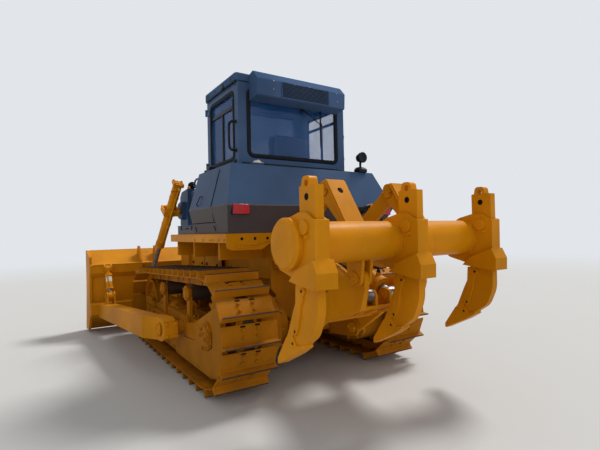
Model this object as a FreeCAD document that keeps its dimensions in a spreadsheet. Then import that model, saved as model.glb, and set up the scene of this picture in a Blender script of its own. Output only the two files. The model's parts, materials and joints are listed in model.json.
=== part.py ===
"""Crawler bulldozer with a straight-tilt blade and a three-shank parallelogram ripper.

Millimetres. +X points to the blade, +Y to the machine's left, +Z up. The origin is on the ground, midway
along the machine and midway between the tracks.
"""

import FreeCAD
import Part
import math
import os
import re
import sys

V = FreeCAD.Vector
DOC = FreeCAD.newDocument("Bulldozer")
SHEET = DOC.addObject("Spreadsheet::Sheet", "Sizes")

# Name, value, what it measures
SIZES = (
    # undercarriage
    ("track_gauge", 2000, "between the centre lines of the two tracks"),
    ("shoe_width", 560, "width of a track shoe"),
    ("shoe_count", 38, "shoes in one track"),
    ("sprocket_x", -1130, "sprocket axis"),
    ("wheel_base", 2730, "sprocket axis to idler axis"),
    ("sprocket_pin_radius", 468, "sprocket axis to the chain pins"),
    ("idler_pin_radius", 406, "idler axis to the chain pins"),
    ("grouser_reach", 140, "chain pin to the grouser's tip"),
    ("shoe_out", 68, "chain pin to the outer face of a shoe"),
    ("shoe_in", 54, "chain pin to the inner face of a shoe"),
    ("grouser_thick", 15, "thickness of a grouser at its tip"),
    ("chain_phase", 198, "first chain pin ahead of the sprocket axis"),
    ("rail_inset", 46, "chain pin to the rail face that the rollers bear on"),
    ("rail_inner", 52, "half the gap between the rails of a chain"),
    ("rail_thick", 42, "thickness of a rail"),
    ("roller_count", 6, "track rollers on one side"),
    ("roller_radius", 106, "tread radius of a track roller"),
    ("roller_flange", 124, "flange radius of a track roller"),
    ("first_roller", 500, "sprocket axis to the first track roller"),
    ("roller_span", 1750, "first track roller to the last"),
    ("carrier_radius", 92, "radius of a carrier roller"),
    ("carrier_rear", 760, "sprocket axis to the rear carrier roller"),
    ("carrier_front", 1760, "sprocket axis to the front carrier roller"),
    ("fit_gap", 0.3, "running gap between a rail and a roller"),
    ("frame_half", 130, "half width of a track frame's box"),
    ("frame_top", 620, "top of a track frame"),
    ("frame_bottom", 420, "underside of a track frame"),
    ("guard_out", 178, "track centre line to the outer face of a roller guard"),
    ("guard_thick", 22, "thickness of a roller guard"),
    ("guard_bottom", 172, "lower edge of a roller guard"),
    ("casing_out", 212, "track centre line to the outer face of the sprocket casing"),
    ("casing_thick", 56, "thickness of the sprocket casing"),
    ("cap_rise", 12, "height of the cap on the sprocket casing"),
    ("recoil_radius", 105, "radius of the recoil housing"),
    ("trunnion_x", -330, "axis of the push arms' trunnions"),
    ("trunnion_z", 530, "height of the trunnions"),
    ("trunnion_out", 1465, "outer end of a trunnion"),
    # hull
    ("hull_half", 420, "half width of the steering case and front frame"),
    ("hull_rear", -1080, "rear face of the steering case"),
    ("hull_bottom", 405, "ground clearance"),
    ("hull_top", 1180, "top of the steering case"),
    ("case_front", 250, "front of the steering case"),
    ("rail_height", 220, "height of a frame rail"),
    ("rail_bottom", 760, "underside of a frame rail"),
    ("rail_width", 90, "width of a frame rail"),
    ("belly_thick", 14, "thickness of the belly guard"),
    # superstructure
    ("fender_half", 1040, "half width over the fenders"),
    ("fender_rear", -1225, "rear of the fenders"),
    ("fender_front", 690, "front of the fenders"),
    ("fender_top", 1568, "top of the fenders"),
    ("fender_skirt", 92, "height of the fenders' skirt"),
    ("fender_plate", 10, "thickness of the fender plate"),
    ("tank_top", 2285, "top of the tank and consoles"),
    ("tank_crease", 1842, "height of the tank's crease"),
    ("tank_rear_top", -1180, "tank's rear face at its top"),
    ("tank_rear_crease", -1392, "tank's rear face at its crease"),
    ("tank_rear_foot", -1222, "tank's rear face at its foot"),
    ("tank_half_top", 950, "half width of the tank at its top"),
    ("tank_half_crease", 1092, "half width of the tank at its crease"),
    ("tank_half_foot", 1020, "half width of the tank at its foot"),
    ("tank_front", -915, "front face of the tank behind the cab"),
    ("seam_top", -850, "tank and console seam at the top"),
    ("seam_crease", -995, "tank and console seam at the crease"),
    ("console_front", -262, "front of a console"),
    ("console_front_top", -232, "front of a console at its top"),
    ("toolbox_in", 77, "tank's crease to the outer face of a toolbox"),
    ("panel_gap", 4, "gap between neighbouring panels"),
    ("hood_half", 520, "half width of the hood"),
    ("hood_rear", 195, "rear of the hood"),
    ("hood_top", 2290, "top of the hood"),
    ("hood_nose", 2240, "top of the hood at the radiator guard"),
    ("hood_bottom", 1010, "lower edge of the hood sides"),
    ("hood_sheet", 12, "thickness of the hood sheet"),
    ("guard_rear", 1420, "rear of the radiator guard"),
    ("guard_front", 1810, "front of the radiator guard"),
    ("radiator_half", 560, "half width of the radiator guard"),
    ("guard_foot", 640, "lower edge of the radiator guard"),
    ("cab_half", 735, "half width of the cab"),
    ("cab_rear", -900, "rear face of the cab"),
    ("cab_front", 30, "front face of the cab above the hood"),
    ("cab_floor", 1600, "underside of the cab floor"),
    ("cab_eaves", 3255, "underside of the roof"),
    ("cab_wall", 50, "thickness of the cab's walls and doors"),
    ("dash_front", 180, "front of the cab below the hood's top"),
    ("roof_thick", 90, "thickness of the roof"),
    ("roof_over", 28, "roof beyond the walls"),
    ("door_rear", -850, "rear edge of a door"),
    ("door_front", -20, "front edge of a door"),
    ("door_waist", -205, "rear edge of a door's lower part"),
    ("door_sill", 35, "lower edge of a door's upper part above the tank's top"),
    ("door_foot", 100, "lower edge of a door above the underside of the cab floor"),
    ("door_top", 30, "upper edge of a door below the eaves"),
    ("window_rise", 147, "rear window's sill above the tank's top"),
    ("window_head", 85, "rear window's head below the eaves"),
    ("screen_rise", 150, "windscreen's sill above the hood's top"),
    ("screen_head", 65, "windscreen's head below the eaves"),
    ("dash_rise", 50, "top of the dash above the hood's top"),
    ("hinge_out", 16, "hinge axis of a door beyond the cab's side"),
    ("hinge_radius", 11, "radius of a hinge's knuckle"),
    ("hinge_tall", 40, "height of one leaf of a hinge"),
    ("door_gap", 8, "gap around a door"),
    ("glass_thick", 6, "thickness of a window"),
    ("seat_height", 360, "top of the seat's base above the underside of the cab floor"),
    ("seat_room", 495, "top of the seat's back below the eaves"),
    ("cooler_tall", 305, "height of the air conditioner's box"),
    ("cooler_over", 90, "top of that box above the eaves"),
    ("cooler_half", 600, "half width of that box"),
    ("stack_rise", 670, "top of the exhaust above the hood"),
    ("muffler_rise", 270, "top of the muffler above the hood"),
    ("bowl_low", 230, "underside of the pre-cleaner's bowl above the hood"),
    ("bowl_high", 410, "top of that bowl above the hood"),
    ("lamp_rise", 185, "work lamp's axis above the tank"),
    ("louvre_tall", 18, "height of a louvre in the air conditioner"),
    ("louvre_pitch", 30, "one louvre to the next"),
    ("louvre_deep", 14, "depth of a louvre"),
    ("skirt_hole", 17, "radius of the three rear holes in a fender's skirt"),
    ("skirt_vent", 7, "radius of the three front holes in a fender's skirt"),
    # blade
    ("blade_half", 1862, "half width of the blade"),
    ("blade_bottom", 25, "cutting edge above the ground as parked"),
    ("blade_top", 1330, "top of the blade"),
    ("blade_front", 2840, "front of the cutting edge"),
    ("blade_rear", 2300, "rear of the blade's box"),
    ("blade_dip", 128, "depth of the moldboard's curve from its chord"),
    ("edge_height", 235, "height of the cutting edge"),
    ("edge_thick", 22, "thickness of the cutting edge"),
    ("end_bit", 235, "width of an end bit"),
    ("arm_height", 250, "height of a push arm"),
    ("arm_width", 180, "width of a push arm"),
    ("arm_inset", 117, "blade's end to the outer face of a push arm"),
    ("arm_knee_out", 1600, "outer face of a push arm at its knee"),
    ("arm_knee_x", -60, "knee of a push arm"),
    ("brace_lug", 37, "half the gap between the plates that hold a brace's eye"),
    ("brace_plate", 22, "thickness of those plates"),
    ("brace_pin", 24, "radius of a brace's pins"),
    ("brace_y", 130, "outer face of a push arm to the brace's middle"),
    ("brace_foot_x", 300, "blade's rear to the brace's lower pin"),
    ("brace_foot_z", 640, "height of the brace's lower pin"),
    ("brace_head_x", 68, "blade's rear to the brace's upper pin"),
    ("brace_head_z", 1045, "height of the brace's upper pin"),
    ("brace_eye", 52, "radius of a brace's eyes"),
    ("lift_x", 1630, "pivot of the lift cylinders"),
    ("lift_z", 1950, "height of the lift cylinders' pivot"),
    ("lift_y", 780, "lift cylinder's pivot off the centre plane"),
    ("lift_eye_x", 2430, "rod eye of the lift cylinders"),
    ("lift_eye_z", 665, "height of the rod eyes"),
    ("lift_eye_y", 965, "rod eye off the centre plane"),
    ("lift_barrel", 68, "radius of a lift cylinder's barrel"),
    ("lift_rod", 36, "radius of a lift cylinder's rod"),
    ("lift_above", 490, "barrel above its pivot"),
    ("lift_below", 660, "barrel below its pivot"),
    ("eye_half", 42, "half width of a lift rod's eye"),
    ("gland_over", 6, "gland of a lift cylinder beyond its barrel"),
    ("rib_gap", 240, "clear width between the ribs beside a lift rod"),
    ("rib_y", 950, "middle of those ribs off the centre plane"),
    ("eye_drift", 50, "room around a lift cylinder in the blade"),
    # ripper
    ("ripper_arm_x", -1520, "front pin of the lower arm"),
    ("ripper_arm_z", 520, "height of that pin"),
    ("ripper_arm_dx", -880, "front pin to rear pin of the lower arm, along X"),
    ("ripper_arm_dz", 660, "front pin to rear pin of the lower arm, upward"),
    ("link_dx", 330, "lower arm's rear pin to the upper link's rear pin, along X"),
    ("link_dz", 760, "lower arm's rear pin to the upper link's rear pin, upward"),
    ("beam_x", -2450, "axis of the ripper beam"),
    ("beam_z", 1484, "height of the ripper beam"),
    ("beam_radius", 165, "radius of the ripper beam"),
    ("shank_pitch", 1000, "between neighbouring shanks"),
    ("shank_thick", 70, "thickness of a shank"),
    ("shank_depth", 200, "depth of a shank, fore and aft"),
    ("shank_rear", -2762, "rear edge of a shank"),
    ("wear_over", 12, "wear guard and tip beyond the side of a shank"),
    ("pocket_half", 62, "half width of a shank pocket"),
    ("pocket_foot", 90, "half width of a shank pocket at its foot"),
    ("pocket_gap", 6, "gap between a shank and its pocket"),
    ("shank_pin", 28, "radius of the pin that holds a shank"),
    ("shank_eye", 25, "radius of the lifting eye at the top of a shank"),
    ("pin_radius", 45, "radius of the ripper's pins"),
    ("pin_gap", 0.05, "radial clearance of a pin in its bore"),
    ("rcyl_x", -1180, "front pin of the ripper cylinders"),
    ("rcyl_z", 1440, "height of that pin"),
    ("rcyl_eye_x", -2250, "rod eye of the ripper cylinders"),
    ("rcyl_eye_z", 980, "height of those rod eyes"),
    ("rcyl_y", 150, "ripper cylinders off the centre plane"),
    ("rcyl_barrel", 85, "radius of a ripper cylinder's barrel"),
    ("rcyl_rod", 42, "radius of a ripper cylinder's rod"),
)
for row, (alias, value, meaning) in enumerate(SIZES, 1):
    SHEET.set(f"A{row}", meaning)
    SHEET.set(f"B{row}", str(value))
    SHEET.setAlias(f"B{row}", alias)
DOC.recompute()
ALIASES = re.compile(r"\b(" + "|".join(sorted((r[0] for r in SIZES), key=len, reverse=True)) + r")\b")


class Values:
    """The sheet's sizes, read by name."""

    def __getattr__(self, alias):
        return float(SHEET.get(alias))


S = Values()
NODES = []


def bind(obj, prop, text):
    """Bind a property to an expression in the sheet's names, or set it where it is a bare number."""
    if isinstance(text, str):
        obj.setExpression(prop, ALIASES.sub(r"Sizes.\1", text))
    else:
        obj.setExpression(prop, repr(round(float(text), 6)))


def seat(obj, x=0, y=0, z=0):
    """Bind a feature's place."""
    for axis, text in zip("xyz", (x, y, z)):
        bind(obj, f"Placement.Base.{axis}", text)
    return obj


def box(name, x, y, z):
    """A block between pairs of places along each axis."""
    obj = DOC.addObject("Part::Box", name)
    for prop, (low, high) in zip(("Length", "Width", "Height"), (x, y, z)):
        bind(obj, prop, f"({high}) - ({low})")
    return seat(obj, *(pair[0] for pair in (x, y, z)))


TURN = {"x": FreeCAD.Rotation(V(0, 1, 0), 90), "y": FreeCAD.Rotation(V(1, 0, 0), -90),
        "z": FreeCAD.Rotation()}


def rod(name, axis, radius, span, at):
    """A cylinder along an axis, over a span of it, at the two other coordinates."""
    obj = DOC.addObject("Part::Cylinder", name)
    bind(obj, "Radius", radius)
    bind(obj, "Height", f"({span[1]}) - ({span[0]})")
    obj.Placement = FreeCAD.Placement(V(), TURN[axis])
    place = list(at)
    place.insert("xyz".index(axis), span[0])
    return seat(obj, *place)


def tube_between(name, radius, start, end):
    """A round bar from one point to another."""
    a, b = V(*start), V(*end)
    obj = DOC.addObject("Part::Cylinder", name)
    bind(obj, "Radius", radius)
    obj.Height = (b - a).Length
    obj.Placement = FreeCAD.Placement(a, FreeCAD.Rotation(V(0, 0, 1), b - a))
    return obj


def rounded(outline):
    """Lines and arcs of a closed outline whose rows are x, y and, where a corner is round, its radius."""
    rows = [(V(r[0], r[1], 0), r[2] if len(r) > 2 else 0) for r in outline]
    runs = []
    for (before, _), (corner, radius), (after, _) in zip(rows[-1:] + rows[:-1], rows, rows[1:] + rows[:1]):
        if not radius:
            runs.append((corner, corner, None))
            continue
        a, b = (before - corner).normalize(), (after - corner).normalize()
        half = a.getAngle(b) / 2
        reach = radius / math.tan(half)
        middle = corner + (a + b).normalize() * (radius / math.sin(half))
        runs.append((corner + a * reach, corner + b * reach, middle + (corner - middle).normalize() * radius))
    edges = []
    for (start, end, via), (following, _, _) in zip(runs, runs[1:] + runs[:1]):
        if via:
            edges.append(Part.Arc(start, via, end))
        if (following - end).Length > 1e-6:
            edges.append(Part.LineSegment(end, following))
    return edges


def sketch_on(body, role, *outlines):
    """A sketch on one of a body's own planes."""
    sketch = body.newObject("Sketcher::SketchObject", body.Name + "Outline")
    plane = next(f for f in body.Origin.OriginFeatures if f.Role == role)
    sketch.AttachmentSupport = [(plane, "")]
    sketch.MapMode = "FlatFace"
    for outline in outlines:
        edges = outline if not isinstance(outline[0], tuple) else rounded(outline)
        sketch.addGeometry(edges, False)
    return sketch


def pad(name, role, length, place, *outlines):
    body = DOC.addObject("PartDesign::Body", name)
    sketch = sketch_on(body, role, *outlines)
    feature = body.newObject("PartDesign::Pad", name + "Pad")
    feature.Profile = sketch
    bind(feature, "Length", length)
    sketch.Visibility = False
    return seat(body, *place)


def plate(name, y, *outlines):
    """A plate in side view: rows x, z, padded between two places along Y."""
    return pad(name, "XZ_Plane", f"({y[1]}) - ({y[0]})", (0, y[1], 0), *outlines)


def slab(name, z, *outlines):
    """A plate in plan: rows x, y, padded between two heights."""
    return pad(name, "XY_Plane", f"({z[1]}) - ({z[0]})", (0, 0, z[0]), *outlines)


def panel(name, x, *outlines):
    """A plate in front view: rows y, z, padded between two places along X."""
    return pad(name, "YZ_Plane", f"({x[1]}) - ({x[0]})", (x[0], 0, 0), *outlines)


def turned(name, profile, x, y, z, plane="YZ_Plane"):
    """A piece turned about a line along Y, or along X on the XZ plane: rows are place along it and radius."""
    body = DOC.addObject("PartDesign::Body", name)
    rows = [(profile[0][0], 0)] + list(profile) + [(profile[-1][0], 0)]
    sketch = sketch_on(body, plane, rows)
    feature = body.newObject("PartDesign::Revolution", name + "Turn")
    feature.Profile = sketch
    feature.ReferenceAxis = (sketch, ["H_Axis"])
    feature.Angle = 360
    sketch.Visibility = False
    return seat(body, x, y, z)


def leaning(obj, degrees, x, y, z):
    """Turn a piece about Y, then bind its place."""
    obj.Placement = FreeCAD.Placement(V(), FreeCAD.Rotation(V(0, 1, 0), degrees))
    return seat(obj, x, y, z)


def softened(name, source, radius, wanted):
    """Round the edges of a solid whose ends all pass a test."""
    DOC.recompute()
    obj = DOC.addObject("Part::Fillet", name)
    obj.Base = source
    obj.Edges = [(k, radius, radius) for k, edge in enumerate(source.Shape.Edges, 1)
                 if all(wanted(end.Point) for end in edge.Vertexes)]
    return obj


def join(name, *shapes):
    """Pieces welded to one solid."""
    obj = DOC.addObject("Part::MultiFuse", name)
    obj.Shapes = list(shapes)
    obj.Refine = True
    return obj


def cut(name, base, *tools):
    obj = DOC.addObject("Part::Cut", name)
    obj.Base = base
    obj.Tool = tools[0] if len(tools) == 1 else join(name + "Tools", *tools)
    obj.Refine = True
    return obj


def shared(name, first, second):
    """What two solids have in common."""
    obj = DOC.addObject("Part::Common", name)
    obj.Base, obj.Tool = first, second
    obj.Refine = True
    return obj


def group(name, *shapes):
    """Like pieces that don't touch."""
    obj = DOC.addObject("Part::Compound", name)
    obj.Links = list(shapes)
    return obj


def mirrored(name, source):
    """A piece's opposite on the other side of the centre plane."""
    obj = DOC.addObject("Part::Mirroring", name)
    obj.Source = source
    obj.Normal = V(0, 1, 0)
    return obj


def solid(name, shape):
    """A piece whose form only Part's own functions give."""
    obj = DOC.addObject("Part::Feature", name)
    obj.Shape = shape
    obj.Placement = FreeCAD.Placement()
    return obj


def node(label, obj):
    """Name a finished piece."""
    obj.Label = label
    NODES.append(obj)
    return obj


def both(label, obj):
    """Name a piece and its opposite: left, then right."""
    opposite = mirrored(obj.Name + "Right", obj)
    return node(label + "_left", obj), node(label + "_right", opposite)


def pair(label, obj):
    """Name a piece and its opposite as one."""
    return node(label, group(obj.Name + "Pair", obj, mirrored(obj.Name + "Right", obj)))


def across(y):
    """The same span on the machine's right."""
    return (f"-({y[1]})", f"-({y[0]})")


# Track geometry
HALF_GAUGE = "track_gauge / 2"
SPROCKET = V(S.sprocket_x, 0, S.grouser_reach + S.sprocket_pin_radius)
IDLER = V(S.sprocket_x + S.wheel_base, 0, S.grouser_reach + S.idler_pin_radius)
DROP = 2 * math.atan2(S.sprocket_pin_radius - S.idler_pin_radius, S.wheel_base)


def on_chain(s):
    """The point a distance along the chain's pin line: bottom run forward, idler, top run back, sprocket."""
    idler_arc = S.idler_pin_radius * (math.pi - DROP)
    sprocket_arc = S.sprocket_pin_radius * (math.pi + DROP)
    runs = (S.wheel_base, idler_arc, S.wheel_base, sprocket_arc)
    s %= sum(runs)
    if s < runs[0]:
        return V(S.sprocket_x + s, 0, S.grouser_reach)
    s -= runs[0]
    if s < runs[1]:
        turn = s / S.idler_pin_radius
        return IDLER + V(math.sin(turn), 0, -math.cos(turn)) * S.idler_pin_radius
    s -= runs[1]
    up = V(math.sin(DROP), 0, math.cos(DROP))
    if s < runs[2]:
        return IDLER + up * S.idler_pin_radius + V(-math.cos(DROP), 0, math.sin(DROP)) * s
    s -= runs[2]
    turn = math.pi - DROP + s / S.sprocket_pin_radius
    return SPROCKET + V(math.sin(turn), 0, -math.cos(turn)) * S.sprocket_pin_radius


CHAIN = 2 * S.wheel_base + math.pi * (S.sprocket_pin_radius + S.idler_pin_radius) + DROP * (
    S.sprocket_pin_radius - S.idler_pin_radius)
PITCH = CHAIN / S.shoe_count


def loop(rows):
    """A closed outline from rows of place along a link and distance out from its pins, repeated."""
    points = []
    for k in range(int(S.shoe_count)):
        a, b = on_chain(S.chain_phase + k * PITCH), on_chain(S.chain_phase + (k + 1) * PITCH)
        along = (b - a).normalize()
        out = V(along.z, 0, -along.x)
        points += [a + along * (u * (b - a).Length / PITCH) + out * w for u, w in rows]
    return Part.makePolygon(points + points[:1])


def band(outer, inner, y0, y1):
    """The solid between an outer and an inner outline of the loop, from y0 to y1."""
    face = Part.Face(loop(outer)).cut(Part.Face(loop(inner)))
    face.translate(V(0, y0, 0))
    return face.extrude(V(0, y1 - y0, 0))


def track(side):
    """Shoes with their grousers and the two rails of the chain, one closed loop."""
    middle = side * S.track_gauge / 2
    tip = S.grouser_thick
    shoes = band(((3, S.shoe_out - 3), (PITCH - 34, S.shoe_out), (PITCH - 12 - tip, S.grouser_reach),
                  (PITCH - 12, S.grouser_reach), (PITCH - 5, S.shoe_out - 3)),
                 ((PITCH / 2, S.shoe_in),), middle - S.shoe_width / 2, middle + S.shoe_width / 2)
    rails = []
    for rail in (-1, 1):
        y = sorted(middle + rail * v for v in (S.rail_inner, S.rail_inner + S.rail_thick))
        rails.append(band(((PITCH / 2, S.shoe_in + 6),),
                          ((0.12 * PITCH, -S.rail_inset), (0.7 * PITCH, -S.rail_inset),
                           (0.9 * PITCH, 12 - S.rail_inset)), *y))
    return solid("TrackLoop", shoes.fuse(rails).removeSplitter())


node("track_left", track(1))
node("track_right", track(-1))

# Undercarriage, left side
AXLE = "sprocket_x"
IDLER_X = "sprocket_x + wheel_base"
SPROCKET_Z = "grouser_reach + sprocket_pin_radius"
IDLER_Z = "grouser_reach + idler_pin_radius"
r_core = S.sprocket_pin_radius - 70
TEETH = 27
teeth = []
for k in range(TEETH):
    a = 2 * math.pi * k / TEETH
    for da, r in ((-0.075, r_core), (-0.03, S.sprocket_pin_radius - 8), (0.03, S.sprocket_pin_radius - 8),
                  (0.075, r_core)):
        teeth.append((r * math.cos(a + da), r * math.sin(a + da)))
wheel = seat(plate("SprocketRim", (-34, 34), teeth), AXLE, f"{HALF_GAUGE} + 34", SPROCKET_Z)
hub = turned("SprocketHub", [(S.fit_gap - 125, 300), (-60, 330), (60, 250), (110, 120), (150, 120)], AXLE,
             HALF_GAUGE, SPROCKET_Z)
sprocket = join("Sprocket", wheel, hub)
pair("sprockets", sprocket)

yoke_in = 104 - S.fit_gap
tread = math.sqrt(S.idler_pin_radius ** 2 - PITCH ** 2 / 4) - S.rail_inset - S.fit_gap
idler_side = [(46, tread), (96, tread), (96, tread - 42), (38, tread - 60), (38, 150), (96, 130), (96, 55),
              (yoke_in, 55)]
idler_rows = [(-u, r) for u, r in reversed(idler_side)] + [(-42, tread + 22), (42, tread + 22)] + idler_side
idler = turned("Idler", idler_rows, IDLER_X, HALF_GAUGE, IDLER_Z)
pair("idlers", idler)

roller_z = S.grouser_reach + S.rail_inset + S.fit_gap + S.roller_radius
rollers = []
shaft = S.guard_out - S.guard_thick - S.fit_gap
edge_out = S.rail_inner + S.rail_thick + 3
for k in range(int(S.roller_count)):
    x = S.sprocket_x + S.first_roller + k * S.roller_span / (S.roller_count - 1)
    rollers.append(turned(f"TrackRoller{k + 1}", [
        (-shaft, 38), (-edge_out - 14, 38), (-edge_out - 14, S.roller_flange), (-edge_out, S.roller_flange),
        (-edge_out, S.roller_radius), (edge_out, S.roller_radius), (edge_out, S.roller_flange),
        (edge_out + 14, S.roller_flange), (edge_out + 14, 38), (shaft, 38)], x, HALF_GAUGE, roller_z))

run_way, run_up = V(math.cos(DROP), 0, -math.sin(DROP)), V(math.sin(DROP), 0, math.cos(DROP))
carrier_depth = S.sprocket_pin_radius - S.rail_inset - S.fit_gap - S.carrier_radius
carriers = []
for ahead in (S.carrier_rear, S.carrier_front):
    centre = SPROCKET + run_way * ahead + run_up * carrier_depth
    carriers.append((centre.x, centre.z))
wheels = [turned(f"CarrierRoller{k + 1}", [(-110, S.carrier_radius), (112, S.carrier_radius)], x,
                 HALF_GAUGE, z) for k, (x, z) in enumerate(carriers)]
pair("track_rollers", group("TrackRollers", *rollers, *wheels))

# Track frame
front_end = S.sprocket_x + S.wheel_base - 330
box_end = S.sprocket_x + S.wheel_base - tread - 40
frame_y = (f"{HALF_GAUGE} - frame_half", f"{HALF_GAUGE} + frame_half")
beam = plate("FrameBox", frame_y, [
    (S.sprocket_x + 520, S.frame_bottom), (box_end, S.frame_bottom), (box_end, S.frame_top - 60, 30),
    (front_end - 250, S.frame_top, 60), (S.sprocket_x + 520, S.frame_top)])
guards = [plate(f"Guard{k}", y, [(S.sprocket_x + 330, S.guard_bottom), (front_end + 60, S.guard_bottom),
                                 (front_end + 60, S.frame_bottom + 110),
                                 (S.sprocket_x + 330, S.frame_bottom + 110)])
          for k, y in (("Outer", (f"{HALF_GAUGE} + guard_out - guard_thick", f"{HALF_GAUGE} + guard_out")),
                       ("Inner", (f"{HALF_GAUGE} - guard_out", f"{HALF_GAUGE} - guard_out + guard_thick")))]
shelf = box("GuardShelf", (S.sprocket_x + 520, box_end),
            (f"{HALF_GAUGE} - guard_out + 1", f"{HALF_GAUGE} + guard_out - 1"),
            ("frame_bottom + 20", "frame_bottom + 50"))
casing = plate("SprocketCasing", (f"{HALF_GAUGE} + casing_out - casing_thick",
                                  f"{HALF_GAUGE} + casing_out"),
               [(-1400, 232, 20), (-1200, 178, 30), (-60, 178, 20), (-60, 470, 40), (-470, 590, 80),
                (-740, 635, 60), (-900, 700, 40), (-1270, 850, 60), (-1420, 900, 30), (-1500, 505, 60)])
bearing = rod("OuterBearing", "y", 105, (f"{HALF_GAUGE} + casing_out - 5",
                                         f"{HALF_GAUGE} + casing_out + 22"), (AXLE, SPROCKET_Z))
cap_rows = ((164, 22), (-11, 53), (-118, 14), (-111, -123), (1, -177), (116, -193), (197, -46))
casing_cap = seat(plate("CasingCap", ("casing_out - 5", "casing_out + cap_rise"),
                        [(x, z, 30) for x, z in cap_rows]), AXLE, f"{HALF_GAUGE} + casing_out + cap_rise",
                  SPROCKET_Z)
ties = [box("EqualizerSeat", (780, 980), (f"{HALF_GAUGE} - frame_half - 60",
                                          f"{HALF_GAUGE} - frame_half + 5"), ("frame_bottom", "frame_top")),
        box("CasingTie", (-610, -120), (f"{HALF_GAUGE} + frame_half - 5",
                                        f"{HALF_GAUGE} + casing_out - casing_thick + 5"), (430, 590))]
posts = []
for k, (x, z) in enumerate(carriers):
    posts.append(box(f"CarrierPost{k + 1}", (x - 55, x + 55),
                     (f"{HALF_GAUGE} + 118", f"{HALF_GAUGE} + 150"), ("frame_top - 130", z + 40)))
    posts.append(rod(f"CarrierShaft{k + 1}", "y", 30, (f"{HALF_GAUGE} + 112.5", f"{HALF_GAUGE} + 120"),
                     (x, z)))
recoil_rear, recoil_front = S.sprocket_x + 1630, S.sprocket_x + 2260
recoil = turned("RecoilCover", [(recoil_rear, S.recoil_radius - 40), (recoil_rear + 40, S.recoil_radius),
                                (recoil_front - 70, S.recoil_radius), (recoil_front, S.recoil_radius - 45)],
                0, HALF_GAUGE, "frame_top - 20", "XZ_Plane")
yokes = [plate(f"IdlerYoke{k}", y, [(front_end - 100, 430), (IDLER.x + 95, 430, 30),
                                    (IDLER.x + 95, 640, 60), (IDLER.x - 95, 640, 60),
                                    (front_end - 100, 560)])
         for k, y in (("Outer", (f"{HALF_GAUGE} + 104", f"{HALF_GAUGE} + 146")),
                      ("Inner", (f"{HALF_GAUGE} - 146", f"{HALF_GAUGE} - 104")))]
trunnion = [rod("TrunnionStem", "y", 70, (f"{HALF_GAUGE} + frame_half - 5", "trunnion_out - 25"),
                ("trunnion_x", "trunnion_z")),
            rod("TrunnionFlange", "y", 120,
                (f"{HALF_GAUGE} + guard_out - 10", f"{HALF_GAUGE} + guard_out + 40"),
                ("trunnion_x", "trunnion_z"))]
frame = join("TrackFrame", beam, *guards, shelf, casing, casing_cap, bearing, *ties, *posts, recoil, *yokes,
             *trunnion)
both("track_frame", frame)

DRIVE_FINS = 12
fins = []
for k in range(DRIVE_FINS):
    turn = 2 * math.pi * k / DRIVE_FINS
    way, aside = V(math.cos(turn), math.sin(turn), 0), V(-math.sin(turn), math.cos(turn), 0)
    corners = [way * r + aside * t for r, t in ((200, -7), (336, -7), (336, 7), (200, 7))]
    fins.append(seat(plate(f"DriveFin{k}", (-466, -425), [(c.x, c.y) for c in corners]), AXLE,
                     f"{HALF_GAUGE} - 425", SPROCKET_Z))
drive = turned("FinalDrive", [(-580, 210), (-470, 210), (-430, 340), (-215, 340), (-175, 300), (-125, 300)],
               AXLE, HALF_GAUGE, SPROCKET_Z)
pair("final_drives", join("FinalDriveRibbed", drive, *fins))

# Hull
case = plate("SteeringCase", ("-hull_half", "hull_half"),
             [(S.hull_rear, S.hull_bottom + 40, 30), (S.case_front, S.hull_bottom + 40),
              (S.case_front, S.hull_top - 240), (-420, S.hull_top, 40), (S.hull_rear, S.hull_top, 40)])
frame_rails = [box(f"FrameRail{k}", (S.case_front - 20, "guard_rear - fit_gap"), y,
                   ("rail_bottom", "rail_bottom + rail_height"))
               for k, y in (("Left", ("hull_half - rail_width", "hull_half")),
                            ("Right", across(("hull_half - rail_width", "hull_half"))))]
belly = slab("BellyGuard", ("hull_bottom", "hull_bottom + belly_thick"),
             [(S.hull_rear + 60, -S.hull_half), (1400, -S.hull_half), (1400, S.hull_half),
              (S.hull_rear + 60, S.hull_half)])
nose = plate("NoseGuard", ("-hull_half", "hull_half"),
             [(1396, S.hull_bottom), (S.guard_front - 10, 560),
              (S.guard_front - 10, S.guard_foot - S.fit_gap),
              (S.guard_front - 24, S.guard_foot - S.fit_gap), (S.guard_front - 24, 572),
              (1396, S.hull_bottom + 14)])
cross = [box(f"HullCross{k}", (x, x + 90), ("-hull_half", "hull_half"),
             ("hull_bottom + 5", "rail_bottom + 60")) for k, x in ((1, 300), (2, 1325))]
saddle = [box(f"EqualizerSaddle{k}", (x, x + 35), (-160, 160), ("hull_bottom + 5", "rail_bottom + 20"))
          for k, x in ((1, 758), (2, 967))]
saddle += [box(f"SaddleCross{k}", (x, x + 35), ("-hull_half + 20", "hull_half - 20"),
               ("rail_bottom", "rail_bottom + 60")) for k, x in ((1, 758), (2, 967))]
saddle.append(rod("EqualizerPin", "x", 50, (760, 1000), (0, "frame_top + 65")))
equalizer = cut("EqualizerBar", plate("EqualizerBlank", (f"-({HALF_GAUGE}) + 115", f"{HALF_GAUGE} - 115"),
                                      [(800, S.frame_top + S.fit_gap), (960, S.frame_top + S.fit_gap),
                                       (960, S.frame_top + 130, 20), (800, S.frame_top + 130, 20)]),
                rod("EqualizerBore", "x", 50.3, (700, 1050), (0, "frame_top + 65")))
node("main_frame", join("MainFrame", case, *frame_rails, belly, nose, *cross, *saddle))
node("equalizer_bar", equalizer)
engine = box("Engine", ("case_front + 50", "guard_rear - 90"), ("-hood_half + 230", "hood_half - 230"),
             ("rail_bottom + 75", "hood_top - 390"))
engine_feet = [box(f"EngineFoot{k}", (x, x + 100),
                   ("-hull_half + rail_width + fit_gap", "hull_half - rail_width - fit_gap"), (880, 940))
               for k, x in ((1, 460), (2, 1100))]
node("engine_block", join("EngineBlock", engine, *engine_feet))

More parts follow.
